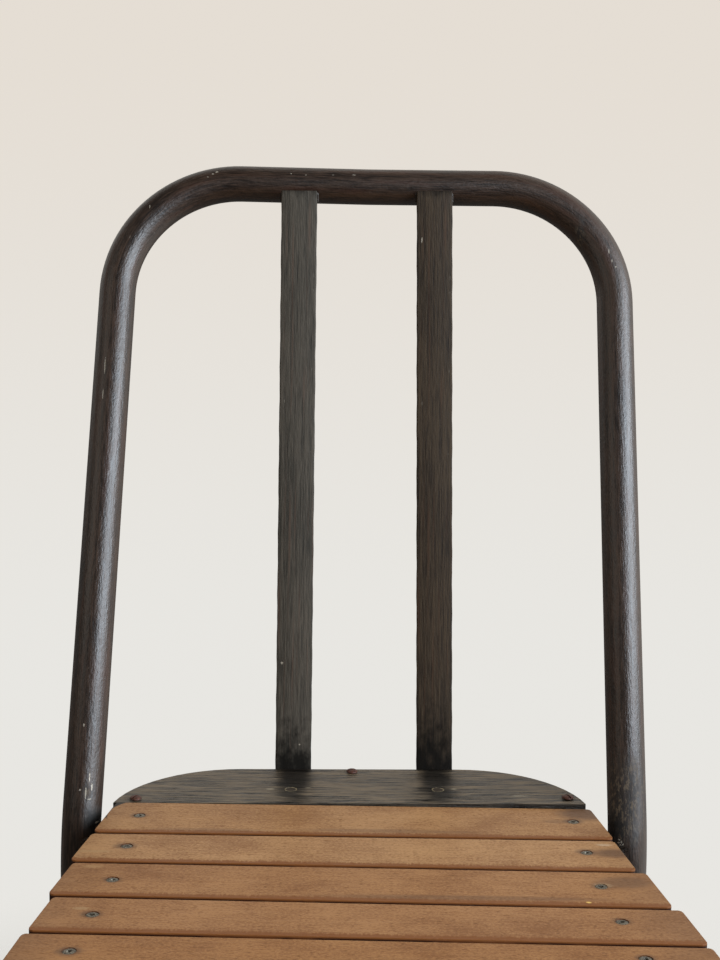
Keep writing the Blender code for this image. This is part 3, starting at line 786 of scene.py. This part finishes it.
def cut_out(name, shape, cutter):
    """Mesh of one shape less another."""
    pieces = []
    for part in (shape, cutter):
        mesh = bpy.data.meshes.new(name)
        part.to_mesh(mesh)
        part.free()
        pieces.append(bpy.data.objects.new(name, mesh))
        scene.collection.objects.link(pieces[-1])
    recess = pieces[0].modifiers.new("recess", "BOOLEAN")
    recess.operation = "DIFFERENCE"
    recess.solver = "EXACT"
    recess.use_self = True
    recess.object = pieces[1]
    bpy.context.view_layer.update()
    cut = pieces[0].evaluated_get(bpy.context.evaluated_depsgraph_get())
    mesh = bpy.data.meshes.new_from_object(cut)
    mesh.shade_smooth()
    mesh.set_sharp_from_angle(angle=RECESS_CREASE)
    for piece in pieces:
        bpy.data.objects.remove(piece, do_unlink=True)
    return mesh


print("turning helpers ready")

# %% One screw
HEAD_RADIUS = 0.0035
HEAD_DEPTH = 0.0022
SHANK_RADIUS = 0.0016
SCREW_LENGTH = 0.0160
THREAD_PITCH = 0.0011
THREAD_ROOT_RADIUS = SHANK_RADIUS * 0.72
TIP_RADIUS = SHANK_RADIUS * 0.5
HEAD_PROFILE = [
    (0.0, 0.0001),
    (HEAD_RADIUS * 0.8, 0.00005),
    (HEAD_RADIUS, -0.0003),
    (SHANK_RADIUS, -HEAD_DEPTH),
]
RECESS_REACH = 0.0021
RECESS_WIDTH = 0.0008
RECESS_DEPTH = 0.0014
RECESS_DEEP_SHARE = 0.45
SCREW_FACETS = 28


def screw_mesh():
    """A countersunk screw with its head's top at height 0 and a cross recess."""
    profile = list(HEAD_PROFILE)
    height = -HEAD_DEPTH - THREAD_PITCH
    while height > -SCREW_LENGTH + THREAD_PITCH:
        profile.append((SHANK_RADIUS, height))
        profile.append((THREAD_ROOT_RADIUS, height - THREAD_PITCH / 2))
        height -= THREAD_PITCH
    profile += [(TIP_RADIUS, -SCREW_LENGTH + THREAD_PITCH / 2), (0.0, -SCREW_LENGTH)]
    cross = bmesh.new()
    tapered_cutter(cross, RECESS_REACH, RECESS_WIDTH, RECESS_DEPTH, RECESS_DEEP_SHARE)
    bmesh.ops.rotate(cross, verts=cross.verts, matrix=Matrix.Rotation(math.pi / 2, 3, "Z"))
    tapered_cutter(cross, RECESS_REACH, RECESS_WIDTH, RECESS_DEPTH, RECESS_DEEP_SHARE)
    return cut_out("cross_screw", turned(profile, SCREW_FACETS), cross)


shared_screw = screw_mesh()
print("screw faces:", len(shared_screw.polygons))

# %% Fourteen screws
SLAT_COUNT = 7
SCREW_LEAN = math.radians(3)


def top_middle(node, below=0.0):
    """Middle of a node's top, or a point a little below it."""
    low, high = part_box(node)
    return ((low.x + high.x) / 2, (low.y + high.y) / 2, high.z - below)


turns = random.Random(7)
for number in range(1, SLAT_COUNT + 1):
    for name, _ in SIDES:
        node = "slat_screw_%d_%s" % (number, name)
        lean_x = turns.uniform(-SCREW_LEAN, SCREW_LEAN)
        lean_y = turns.uniform(-SCREW_LEAN, SCREW_LEAN)
        turned_by = (lean_x, lean_y, turns.uniform(0, math.pi))
        own_name = "cross_screw_%d_%s" % (number, name)
        stand(own_name, shared_screw, top_middle(node), turned_by)
        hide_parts(node)

# %% [markdown]
# ## Slotted domes
# The board is held by three domed screws with a plain slot, long since rusted. They stand proud
# of the board, so their outline counts, and a bump would not give it. Each is turned from a
# profile, a shallow dome on a thin rim, and has its slot cut across.

# %% Board screws
DOME_RADIUS = 0.0039
DOME_HEIGHT = 0.0018
DOME_RIM = 0.0004
DOME_ROWS = 6
DOME_FACETS = 32
DOME_LEAN = math.radians(2)
SLOT_WIDTH = 0.00055
SLOT_DEPTH = 0.0013
SLOT_TURNS = {"left": 62, "centre": 25, "right": 115}


def dome_profile(shank_end):
    """A quarter arch on a thin rim, and the shank below it."""
    arch = DOME_HEIGHT - DOME_RIM
    profile = [(0.0, DOME_HEIGHT)]
    for row in range(1, DOME_ROWS + 1):
        angle = math.pi / 2 * row / DOME_ROWS
        profile.append((DOME_RADIUS * math.sin(angle), DOME_RIM + arch * math.cos(angle)))
    profile += [(DOME_RADIUS, 0.0), (SHANK_RADIUS, 0.0)]
    return profile + [(SHANK_RADIUS, shank_end), (0.0, shank_end)]


domes = []
for name, degrees in SLOT_TURNS.items():
    node = "board_screw_" + name
    low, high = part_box(node)
    profile = dome_profile(low.z - (high.z - DOME_HEIGHT))
    slot = bmesh.new()
    tapered_cutter(slot, 2 * DOME_RADIUS, SLOT_WIDTH, SLOT_DEPTH, 1.0)
    bmesh.ops.translate(slot, verts=slot.verts, vec=(0, 0, DOME_HEIGHT))
    mesh = cut_out("dome_screw_" + name, turned(profile, DOME_FACETS), slot)
    turned_by = (DOME_LEAN, 0, math.radians(degrees))
    place = top_middle(node, DOME_HEIGHT)
    domes.append(stand("dome_screw_" + name, mesh, place, turned_by))
    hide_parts(node)
print("domes:", len(domes))

# %% [markdown]
# ## Black paint on steel
# The tubes and bars carry many coats of black paint, put on with a brush: fine streaks along
# each piece, a soft sheen broken up by them, brown where the paint is thin, and small chips
# down to pale metal. A picture could be wrapped round each tube, but noise that is stretched
# along the piece gives the same streaks from any distance, with no seam.

# %% Brushed paint
# In a finish, the number after each noise says how much it counts, and the last two numbers of
# each step say where its climb begins and ends.
# Bare steel in the chips, and also the colour of the painted glint by the right lug
BARE_METAL_AND_GLINT = (0.48, 0.43, 0.35)
SCUFF = (0.090, 0.062, 0.036)
SHADE_BLACK = (0.004, 0.003, 0.002)
DULL_BLACK_AND_SHADE = (0.006, 0.005, 0.004)
REDDENED = (1.15, 0.75, 0.65)
PAINT_RELIEF = 0.00022

# How fine each noise of the paint is, in lumps to the metre
FINE_STREAKS = 1150.0
BROAD_STREAKS = 260.0
RED_STREAKS = 210.0
MOTTLE = 760.0
PATCHES = 14.0
CHIP_RIMS = 1100.0
SPECKS = 520.0
CRACKLE = 420.0
BLOTCHES = 170.0

# How the strokes are drawn out across and along a piece
TUBE_STROKES = (1.0, 1.0, 0.08)
BAR_STROKES = (1.8, 1.8, 0.05)
NO_STROKES = (1.0, 1.0, 1.0)


def frame_paint(name, colours, surface, stretch, swept=True, chips_and_glint=(), scuffs=(), shadows=()):
    """Brushed paint. On a swept piece the strokes follow it round its bends."""
    dark, brown = colours
    roughness, sheen = surface
    material, shader, position = start_finish(name)
    along = position
    if swept:
        along = position.node("Attribute", {"attribute_name": "straight"}, out=1)
    short = tuple(min(1.0, value * 5) for value in stretch)
    fine = noise(along, FINE_STREAKS, stretch, 2.0, 0.6)
    broad = noise(along, BROAD_STREAKS, stretch, 2.0, 0.5)
    mottle = noise(along, MOTTLE, short, 1.0, 0.6, (0.2, 0.6, 0.1))
    patch = noise(position, PATCHES, (1, 1, 0.5), 3.0, 0.5, (0.3, 0.1, 0.7))
    thin = step((fine - 0.5) * 1.3 + (broad - 0.5) * 0.6 + (patch - 0.5) * 0.45, -0.34, 0.34)
    colour = mix(thin, dark, brown)
    reddish = step(noise(along, RED_STREAKS, stretch, 1.0, 0.5, (0.7, 0.4, 0.2)), 0.55, 0.70)
    colour = mix(reddish * 0.35, colour, tinted(brown, REDDENED))
    grain = noise(position, CHIP_RIMS, (1, 1, 1), 2.0, 0.5)
    # Chips show bare metal. On the hoop, five of them are a painted glint that stands in for a
    # highlight
    worn = spots(position, chips_and_glint, grain, 0.2)
    specks = step(noise(along, SPECKS, short, 1.0, 0.4, (0.5, 0.2, 0.9)), 0.80, 0.83)
    worn = (worn * 0.75).at_least(specks * 0.18)
    dulled = spots(position, scuffs, broad, 0.8)
    crackle = noise(position, CRACKLE, (1, 1, 0.5), 3.0, 0.7, (0.6, 0.9, 0.2))
    scuffed = dulled * step(crackle * 0.75 + fine * 0.25, 0.49, 0.58)
    blotches = noise(position, BLOTCHES, (1, 1, 0.6), 3.0, 0.6, (0.8, 0.3, 0.4))
    shaded = spots(position, shadows, blotches, 0.75)
    colour = mix(shaded * 0.95, colour, SHADE_BLACK)
    # Dulled paint is darkened as well, partly as a painted shade for the dimmer sheen there
    colour = mix(dulled * 0.6, colour, DULL_BLACK_AND_SHADE)
    colour = mix(scuffed * (1 - shaded * 0.8), colour, SCUFF)
    colour = mix(worn, colour, BARE_METAL_AND_GLINT)
    rough = roughness + (fine - 0.5) * 0.30 + (patch - 0.5) * 0.2 + dulled * 0.35 + shaded * 0.3
    height = fine * 0.4 + broad * 0.5 + mottle * 0.95 - worn * 0.6
    wire(
        shader, Base_Color=colour, Roughness=rough, Metallic=worn * 0.4,
        Specular_IOR_Level=sheen, Normal=relief(height, PAINT_RELIEF),
    )
    return material


print("brushed paint ready")

# %% Where the tubes' paint has chips, scuffs and shade, and a painted glint by the right lug
# A scuff or a shadow is a centre and three radii. A chip is its X, Y, Z, width and height.
def chips(depth, rows):
    """Centres and radii of chips that all reach the same depth."""
    return [((x, y, z), (width, depth, height)) for x, y, z, width, height in rows]


TUBE_CHIPS_AND_GLINT = chips(0.004, [
    (-0.1517, 0.2123, 0.8403, 0.0004, 0.0014),
    (-0.1057, 0.2224, 0.8663, 0.0011, 0.0006),
    (-0.1084, 0.2212, 0.8647, 0.0008, 0.0005),
    (-0.1118, 0.2200, 0.8625, 0.0006, 0.0004),
    (-0.0425, 0.2211, 0.8652, 0.0007, 0.0003),
    (-0.0234, 0.2213, 0.8656, 0.0009, 0.0002),
    (-0.0085, 0.2215, 0.8659, 0.0016, 0.0003),
    (-0.0530, 0.2213, 0.8660, 0.0005, 0.0005),
    (0.1732, 0.2030, 0.8085, 0.0004, 0.0016),
    (0.1712, 0.2045, 0.8145, 0.0004, 0.0022),
    (0.1757, 0.2020, 0.8040, 0.0009, 0.0006),
    (-0.1775, 0.0951, 0.5007, 0.0005, 0.0010),
    (-0.1777, 0.0817, 0.4619, 0.0006, 0.0007),
    (-0.1770, 0.1745, 0.7304, 0.0003, 0.0068),
    (-0.1773, 0.1680, 0.7110, 0.0003, 0.0043),
    (-0.1740, 0.0820, 0.4600, 0.0005, 0.0040),
    (-0.1722, 0.0850, 0.4690, 0.0004, 0.0030),
    (-0.1706, 0.0840, 0.4630, 0.0005, 0.0024),
    (-0.1720, 0.0830, 0.4560, 0.0016, 0.0004),
    (-0.1670, 0.0819, 0.4406, 0.0010, 0.0007),
]) + chips(0.006, [
    # These five are a painted glint of light on the weld beside the right lug, drawn as bright
    # chips
    (0.1690, 0.0762, 0.4360, 0.0007, 0.0005),
    (0.1704, 0.0757, 0.4348, 0.0005, 0.0010),
    (0.1687, 0.0763, 0.4341, 0.0008, 0.0005),
    (0.1713, 0.0752, 0.4334, 0.0004, 0.0007),
    (0.1698, 0.0759, 0.4328, 0.0006, 0.0005),
])
TUBE_SCUFFS = [
    ((0.1740, 0.0830, 0.4580), (0.0190, 0.026, 0.0380)),
    ((-0.1740, 0.0834, 0.4600), (0.0040, 0.010, 0.0080)),
    ((0.1517, 0.2109, 0.8249), (0.0040, 0.010, 0.0140)),
]
TUBE_SHADOWS = [
    ((-0.1680, 0.0800, 0.4400), (0.0095, 0.018, 0.0145)),
    ((0.1655, 0.0780, 0.4420), (0.0085, 0.018, 0.0160)),
]
print("marks on the tubes:", len(TUBE_CHIPS_AND_GLINT) + len(TUBE_SCUFFS) + len(TUBE_SHADOWS))

# %% Where the bars' paint has chips, and the painted shade at their feet and tops
LEFT_CHIPS = chips(0.003, [
    (-0.0533, 0.1712, 0.5238, 0.0010, 0.0009),
    (-0.0401, 0.1642, 0.4672, 0.0006, 0.0006),
    (-0.0414, 0.2123, 0.8540, 0.0009, 0.0006),
])
RIGHT_CHIPS = chips(0.003, [(0.0401, 0.2082, 0.8206, 0.0005, 0.0022)])
# Painted shade: the bars go dark at their feet by the board and at their tops under the hoop
LEFT_BAR_PAINTED_SHADE = [
    ((-0.0470, 0.1630, 0.4350), (0.0400, 0.080, 0.0580)),
    ((-0.0470, 0.2130, 0.8640), (0.0600, 0.040, 0.0160)),
]
RIGHT_BAR_PAINTED_SHADE = [
    ((0.0520, 0.1630, 0.4390), (0.0400, 0.080, 0.0640)),
    ((0.0500, 0.2130, 0.8640), (0.0600, 0.040, 0.0160)),
]
print("marks on the bars:", len(LEFT_CHIPS) + len(RIGHT_CHIPS))

# %% Paint for the frame
# Each pair of colours is a dark and a brown one, each surface a roughness and a sheen
TUBE_COLOURS = ((0.011, 0.006, 0.004), (0.052, 0.026, 0.014))
LEFT_BAR_COLOURS = ((0.031, 0.028, 0.022), (0.099, 0.084, 0.066))
RIGHT_BAR_COLOURS = ((0.018, 0.012, 0.008), (0.070, 0.048, 0.029))
WELD_COLOURS = ((0.010, 0.007, 0.005), (0.034, 0.022, 0.014))
TUBE_SURFACE = (0.42, 0.84)
BAR_SURFACE = (0.66, 0.25)
PLAIN_SURFACE = (0.45, 0.6)
WELD_SURFACE = (0.45, 0.5)

hoop_paint = frame_paint(
    "hoop_paint", TUBE_COLOURS, TUBE_SURFACE, TUBE_STROKES,
    chips_and_glint=TUBE_CHIPS_AND_GLINT, scuffs=TUBE_SCUFFS, shadows=TUBE_SHADOWS,
)
tube_paint = frame_paint("tube_paint", TUBE_COLOURS, TUBE_SURFACE, TUBE_STROKES)
left_bar_paint = frame_paint(
    "left_bar_paint", LEFT_BAR_COLOURS, BAR_SURFACE, BAR_STROKES,
    chips_and_glint=LEFT_CHIPS, shadows=LEFT_BAR_PAINTED_SHADE,
)
right_bar_paint = frame_paint(
    "right_bar_paint", RIGHT_BAR_COLOURS, BAR_SURFACE, BAR_STROKES,
    chips_and_glint=RIGHT_CHIPS, shadows=RIGHT_BAR_PAINTED_SHADE,
)
plain_paint = frame_paint(
    "plain_paint", TUBE_COLOURS, PLAIN_SURFACE, NO_STROKES, swept=False, shadows=TUBE_SHADOWS)
weld_paint = frame_paint(
    "weld_paint", WELD_COLOURS, WELD_SURFACE, NO_STROKES, swept=False, shadows=TUBE_SHADOWS)
print("frame paint ready")

# %% [markdown]
# ## Painted board
# The board at the back of the seat is wood under the same black paint, brushed from side to
# side. It lies flat, so it mirrors the pale backdrop, with the bars as dark soft stripes. Those
# stripes are deepened by a painted reflection: the board's colour is darker in front of each bar.

# %% Paint for the board
BOARD_BLACK = (0.004, 0.003, 0.002)
BOARD_BROWN = (0.204, 0.151, 0.096)
BOARD_SCRATCH = (0.46, 0.39, 0.27)
BOARD_FRONT_SHADE = (0.010, 0.008, 0.006)
BOARD_RELIEF = 0.0017
BOARD_STREAKS = 600.0
BOARD_CLOUDS = 90.0
BOARD_MARKS = [
    ((0.1086, 0.1081, 0.4526), (0.0080, 0.0010, 0.003)),
    ((-0.0580, 0.1200, 0.4505), (0.0036, 0.0011, 0.003)),
    ((0.0655, 0.1210, 0.4520), (0.0026, 0.0012, 0.003)),
    ((-0.0325, 0.1225, 0.4505), (0.0024, 0.0009, 0.003)),
]
# Painted reflection: dark stripes on the board in front of each bar, where it mirrors the bars
BOARD_PAINTED_BAR_REFLECTIONS = [
    ((-0.0425, 0.1480, 0.4505), (0.0160, 0.0700, 0.012)),
    ((0.0540, 0.1480, 0.4515), (0.0160, 0.0700, 0.012)),
]


def board_finish():
    """Streaks from side to side, old scratches, a painted reflection of the bars and painted
    shade in front.
    """
    material, shader, position = start_finish("board_paint")
    fine = noise(position, BOARD_STREAKS, (0.055, 1.0, 1.0), 3.0, 0.75)
    broad = noise(position, BOARD_CLOUDS, (0.25, 1.0, 1.0), 3.0, 0.55)
    thin = step((fine - 0.5) * 2.2 + (broad - 0.5) * 0.2, -0.30, 0.30)
    colour = mix(thin, BOARD_BLACK, BOARD_BROWN)
    marks = spots(position, BOARD_MARKS, fine, 0.6)
    colour = mix(marks * 0.8, colour, BOARD_SCRATCH)
    # Painted reflection of the bars: the board is darkened in a stripe in front of each
    shaded = spots(position, BOARD_PAINTED_BAR_REFLECTIONS, broad, 0.65)
    colour = mix(shaded * 0.9, colour, BOARD_BLACK)
    # Painted shade: faces that look forward, into the gap before the first slat, are darkened
    forward = 0 - part_of(position.node("NewGeometry", out=FACE_NORMAL), 1)
    colour = mix(step(forward, 0.30, 0.70) * 0.8, colour, BOARD_FRONT_SHADE)
    rough = 0.42 + (fine - 0.5) * 1.1 + (broad - 0.5) * 0.20
    height = fine * 0.8 + broad * 0.3
    wire(shader, Base_Color=colour, Roughness=rough, Normal=relief(height, BOARD_RELIEF))
    return material


board_paint = board_finish()
print("board paint ready")

# %% [markdown]
# ## Oiled beech
# The slats are beech, oiled and rubbed by years of use: fine fibres from end to end, short dark
# pores and darker ends where the oil soaks in. The rounded front edge is darker, and painted
# shade fills the gaps between slats. A picture of a plank could be laid on each, but noise drawn
# out along the slat has no seam and never repeats. No two slats took the oil alike, so each has
# its own tint.

# %% Colours of the wood
WOOD_LIGHT = (0.450, 0.260, 0.132)
WOOD_DARK = (0.260, 0.125, 0.054)
WOOD_PORE = (0.120, 0.050, 0.022)
WOOD_SOAKED = (0.165, 0.078, 0.034)
END_GRAIN = (0.120, 0.050, 0.020)
WOOD_EDGE = (0.215, 0.073, 0.017)
GAP_SHADE_DARK = (0.030, 0.006, 0.001)
GAP_SHADE_PALE = (0.130, 0.040, 0.010)
SCREW_STAIN = (0.095, 0.048, 0.026)
SCREW_RIM_SHADE = (0.045, 0.024, 0.014)
CORNER_ARC_BLACK = (0.020, 0.014, 0.009)
TINTS = (
    (1.02, 0.93, 0.75), (1.08, 1.01, 0.86), (0.93, 0.79, 0.61), (0.92, 0.78, 0.61),
    (0.88, 0.72, 0.51), (0.91, 0.77, 0.58), (0.93, 0.79, 0.61),
)
print("tints:", len(TINTS))

# %% Stains and marks on the slats
# For each slat, every mark is its X and Y, its reach along both, a colour and a strength
DARK_STAIN = (0.120, 0.060, 0.032)
PALE_RUB = (0.52, 0.36, 0.23)
YELLOW_FLECK = (0.85, 0.55, 0.15)
WOOD_MARKS = {
    1: (
        (0.1480, 0.0840, 0.0240, 0.0150, DARK_STAIN, 0.85),
        (0.1290, 0.0700, 0.0150, 0.0045, DARK_STAIN, 0.40),
        (0.0200, 0.0500, 0.0700, 0.0040, DARK_STAIN, 0.40),
        (-0.0900, 0.0480, 0.0500, 0.0030, DARK_STAIN, 0.30),
    ),
    2: (
        (0.1505, 0.0327, 0.0062, 0.0022, PALE_RUB, 0.75),
        (0.1560, 0.0200, 0.0190, 0.0090, DARK_STAIN, 0.75),
        (-0.1550, 0.0120, 0.0150, 0.0022, (0.40, 0.25, 0.12), 0.45),
    ),
    3: (
        (0.1271, -0.0489, 0.0020, 0.0012, YELLOW_FLECK, 0.95),
        (0.1520, -0.0220, 0.0220, 0.0110, DARK_STAIN, 0.60),
        (0.1390, -0.0260, 0.0070, 0.0040, (0.44, 0.29, 0.16), 0.50),
        (-0.1520, -0.0100, 0.0080, 0.0030, (0.46, 0.27, 0.12), 0.50),
        (0.0600, -0.0450, 0.1000, 0.0040, DARK_STAIN, 0.45),
    ),
    4: ((-0.1480, -0.0650, 0.0060, 0.0025, (0.46, 0.30, 0.15), 0.45),),
}
print("stains and marks:", sum(len(marks) for marks in WOOD_MARKS.values()))

# %% Edges, ends and gaps of a slat
# The line of a slat's front edge runs a little askew, by this slope for each slat
FRONT_SKEW = (0.0014, 0.0100, 0.0163, 0.0165, 0.0120, 0.0060, 0.0)
EDGE_BAND = 0.0045
EDGE_TEETH = 0.0060
TEETH = 760.0


def worn_edges(colour, number, position, cloud, soaked, shift):
    """Darker end grain, a toothed dark band along the front, and painted shade in the gap."""
    normal = position.node("NewGeometry", out=FACE_NORMAL)
    ends = step(position.sum("ABSOLUTE", part_of(normal, 0)), 0.35, 0.9)
    colour = mix(ends * 0.75, colour, END_GRAIN)
    low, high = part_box("seat_slat_%d" % number)
    skew = FRONT_SKEW[number - 1]
    behind = part_of(position, 1) - low.y - skew * high.x + part_of(position, 0) * skew
    teeth = noise(position, TEETH, (1.0, 0.20, 1.0), 2.0, 0.6, shift)
    ragged = behind + (teeth - 0.5) * EDGE_TEETH
    band = 1 - step(ragged, EDGE_BAND - 0.0022, EDGE_BAND + 0.0008)
    forward = 0 - part_of(normal, 1)
    colour = mix((band * 0.95).at_least(step(forward, 0.10, 0.40)), colour, WOOD_EDGE)
    if number < SLAT_COUNT:
        # Painted shade: the slat's sides below its top go dark in the gaps between slats
        upright = step(position.sum("ABSOLUTE", part_of(normal, 1)), 0.25, 0.65)
        sunk = step(SEAT_HEIGHT - part_of(position, 2), 0.0005, 0.0014)
        gap = mix(step(cloud, 0.50, 0.66) * (1 - soaked), GAP_SHADE_DARK, GAP_SHADE_PALE)
        colour = mix(upright * sunk, colour, gap)
    return colour


print("edges ready")

# %% Stains, shaded rims and a dark corner on a slat
STAIN_RADII = (0.0088, 0.0066, 0.02)
RIM_RADII = (0.0046, 0.0044, 0.02)
MARK_DEPTH = 0.01
CORNER_CENTRE = (-0.1316, 0.0726)
CORNER_RADIUS = 0.0267


def stained(colour, number, position, cloud, ray, screw_places):
    """Dark stains round the screws, painted shade at their rims, then the marks of this slat."""
    rounds = spots(position, [(place, STAIN_RADII) for place in screw_places], cloud, 0.6)
    colour = mix(rounds * 0.75, colour, SCREW_STAIN)
    # Painted shade: a dark ring where each screw head sits in its countersink
    rims = spots(position, [(place, RIM_RADII) for place in screw_places], ray, 0.25)
    colour = mix(rims * 0.85, colour, SCREW_RIM_SHADE)
    for x, y, length, width, tone, strength in WOOD_MARKS.get(number, ()):
        mark = spot(position, (x, y, SEAT_HEIGHT), (length, width, MARK_DEPTH), ray, 0.6)
        colour = mix(mark * strength, colour, tone)
    return colour


def dark_corner_arc(colour, position):
    """A thin black arc round the rear left corner of the first slat, beside the board."""
    off_x = part_of(position, 0) - CORNER_CENTRE[0]
    off_y = part_of(position, 1) - CORNER_CENTRE[1]
    radius = position.sum("SQRT", off_x * off_x + off_y * off_y)
    corner_line = step(radius, CORNER_RADIUS - 0.0004, CORNER_RADIUS + 0.0004)
    corner_line = corner_line * step(0 - off_x, 0.0150, 0.0165) * step(off_y, -0.010, -0.004)
    return mix(corner_line, colour, CORNER_ARC_BLACK)


print("smears ready")

# %% One finish for each slat
WOOD_RELIEF = 0.00014
WOOD_SHEEN = 0.35

# How fine each noise of the wood is, in lumps to the metre
FIGURE = 22.0
FIBRES = 400.0
RAYS = 900.0
CLOUDS = 36.0
PORES = 700.0


def oiled_wood(number, tint, screw_places):
    """Grain of a slat in its own tint, its noises shifted so that no two slats are alike."""
    material, shader, position = start_finish("oiled_wood_%d" % number)
    shift = (0.37 * number, 0.91 * number, 0.53 * number)
    figure = noise(position, FIGURE, (0.30, 1.0, 1.0), 2.0, 0.5, shift)
    fibre = noise(position, FIBRES, (0.10, 1.0, 1.0), 3.0, 0.7, shift)
    ray = noise(position, RAYS, (0.60, 1.0, 1.0), 3.0, 0.75, shift)
    cloud = noise(position, CLOUDS, (0.7, 1.0, 1.0), 3.0, 0.6, shift)
    pores = step(noise(position, PORES, (0.35, 1.0, 1.0), 1.0, 0.4, shift), 0.58, 0.70)
    tone = (figure - 0.5) * 0.35 + (fibre - 0.5) * 0.50 + (cloud - 0.5) * 1.1 + (ray - 0.5) * 2.0
    colour = mix(step(tone, -0.34, 0.40), tinted(WOOD_LIGHT, tint), tinted(WOOD_DARK, tint))
    colour = mix(pores * 0.30, colour, WOOD_PORE)
    reach = position.sum("ABSOLUTE", part_of(position, 0))
    soaked = step(reach + (cloud - 0.5) * 0.05, 0.120, 0.185)
    colour = mix(soaked * 0.45, colour, WOOD_SOAKED)
    colour = worn_edges(colour, number, position, cloud, soaked, shift)
    colour = stained(colour, number, position, cloud, ray, screw_places)
    if number == 1:
        colour = dark_corner_arc(colour, position)
    rough = 0.55 + (fibre - 0.5) * 0.25 + pores * 0.15
    height = fibre * 0.6 + cloud * 0.4 - pores * 0.5
    wire(
        shader, Base_Color=colour, Roughness=rough,
        Specular_IOR_Level=WOOD_SHEEN, Normal=relief(height, WOOD_RELIEF),
    )
    return material


slat_finishes = []
for number, tint in enumerate(TINTS, start=1):
    boxes = [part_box("slat_screw_%d_%s" % (number, name)) for name, _ in SIDES]
    slat_finishes.append(oiled_wood(number, tint, [(low + high) / 2 for low, high in boxes]))
print("slat finishes:", len(slat_finishes))

# %% [markdown]
# ## Screws and feet
# The slat screws are plain steel, gone dull, and the three screws of the board have rusted. The
# two flush bolts are painted over, and their rims are rubbed bare. One plain colour each could
# do, but it would look like plastic, so clouds of a duller tone break up the shine.

# %% Steel, rust and rubber
METAL_RELIEF = 0.0001
BOLT_PAINT = (0.040, 0.028, 0.018)
RUBBED_RIM = (0.66, 0.54, 0.33)
BOLT_FACE_RADII = (0.0040, 0.0040, 0.02)
RIM_WEAR = 700.0

# Each metal's bright and dull colours, clouds to the metre, roughness and share of metal
METALS = {
    "screw_steel": ((0.30, 0.270, 0.215), (0.050, 0.040, 0.030), 900.0, 0.50, 1.0),
    "rusty_steel": ((0.130, 0.048, 0.030), (0.035, 0.013, 0.009), 1100.0, 0.55, 0.4),
    "rubber": ((0.024, 0.024, 0.024), (0.016, 0.016, 0.016), 300.0, 0.80, 0.0),
}


def metal(name, bright, dull, scale, roughness, metallic):
    """Clouds of a dull colour over a bright one. Rubber has the same clouds, without metal."""
    material, shader, position = start_finish(name)
    cloud = noise(position, scale, (1, 1, 1), 4.0, 0.65)
    worn = step(cloud, 0.40, 0.62)
    colour = mix(worn, bright, dull)
    wire(
        shader, Base_Color=colour, Roughness=roughness + (cloud - 0.5) * 0.3,
        Metallic=metallic * (1 - worn * 0.5), Normal=relief(cloud, METAL_RELIEF),
    )
    return material


def rubbed_bolt(name, node):
    """Paint over a flush bolt, with its rim rubbed bare."""
    material, shader, position = start_finish(name)
    cloud = noise(position, RIM_WEAR, (1, 1, 1), 3.0, 0.6)
    rim = 1 - spot(position, top_middle(node), BOLT_FACE_RADII, None, 0.18)
    rim = rim * step(cloud, 0.36, 0.52)
    wire(
        shader, Base_Color=mix(rim, BOLT_PAINT, RUBBED_RIM), Roughness=0.42 + cloud * 0.1,
        Metallic=rim * 0.7, Normal=relief(cloud, METAL_RELIEF),
    )
    return material


steel, rust, rubber = [metal(name, *values) for name, values in METALS.items()]
print("metals:", sorted(METALS))

# %% [markdown]
# ## Every finish on its piece
# The finishes could be put on by hand, piece by piece. Here the name of each solid tells what it
# is made of, and the pieces that stand in for a solid are kept in lists, so a few loops do it.
# A solid with a stand-in isn't shown, so any finish will do for it.

# %% Put every finish on its piece
def dress(piece, material):
    """Give a piece one finish in place of any that it had."""
    piece.data.materials.clear()
    piece.data.materials.append(material)


for name, solid in nodes.items():
    if name.startswith("seat_slat_"):
        dress(solid, slat_finishes[int(name[-1]) - 1])
    elif name.startswith("board_bolt_"):
        dress(solid, rubbed_bolt(name + "_finish", name))
    elif "_foot_" in name:
        dress(solid, rubber)
    else:
        dress(solid, plain_paint)
dress(bars["left"], left_bar_paint)
dress(bars["right"], right_bar_paint)
dress(nodes["rear_board"], board_paint)
for node, piece in tubes.items():
    dress(piece, hoop_paint if node == "back_hoop" else tube_paint)
for pieces, finish in ((beads, weld_paint), (lugs, plain_paint), (domes, rust)):
    for piece in pieces:
        dress(piece, finish)
shared_screw.materials.append(steel)
print("dressed nodes:", len(nodes))
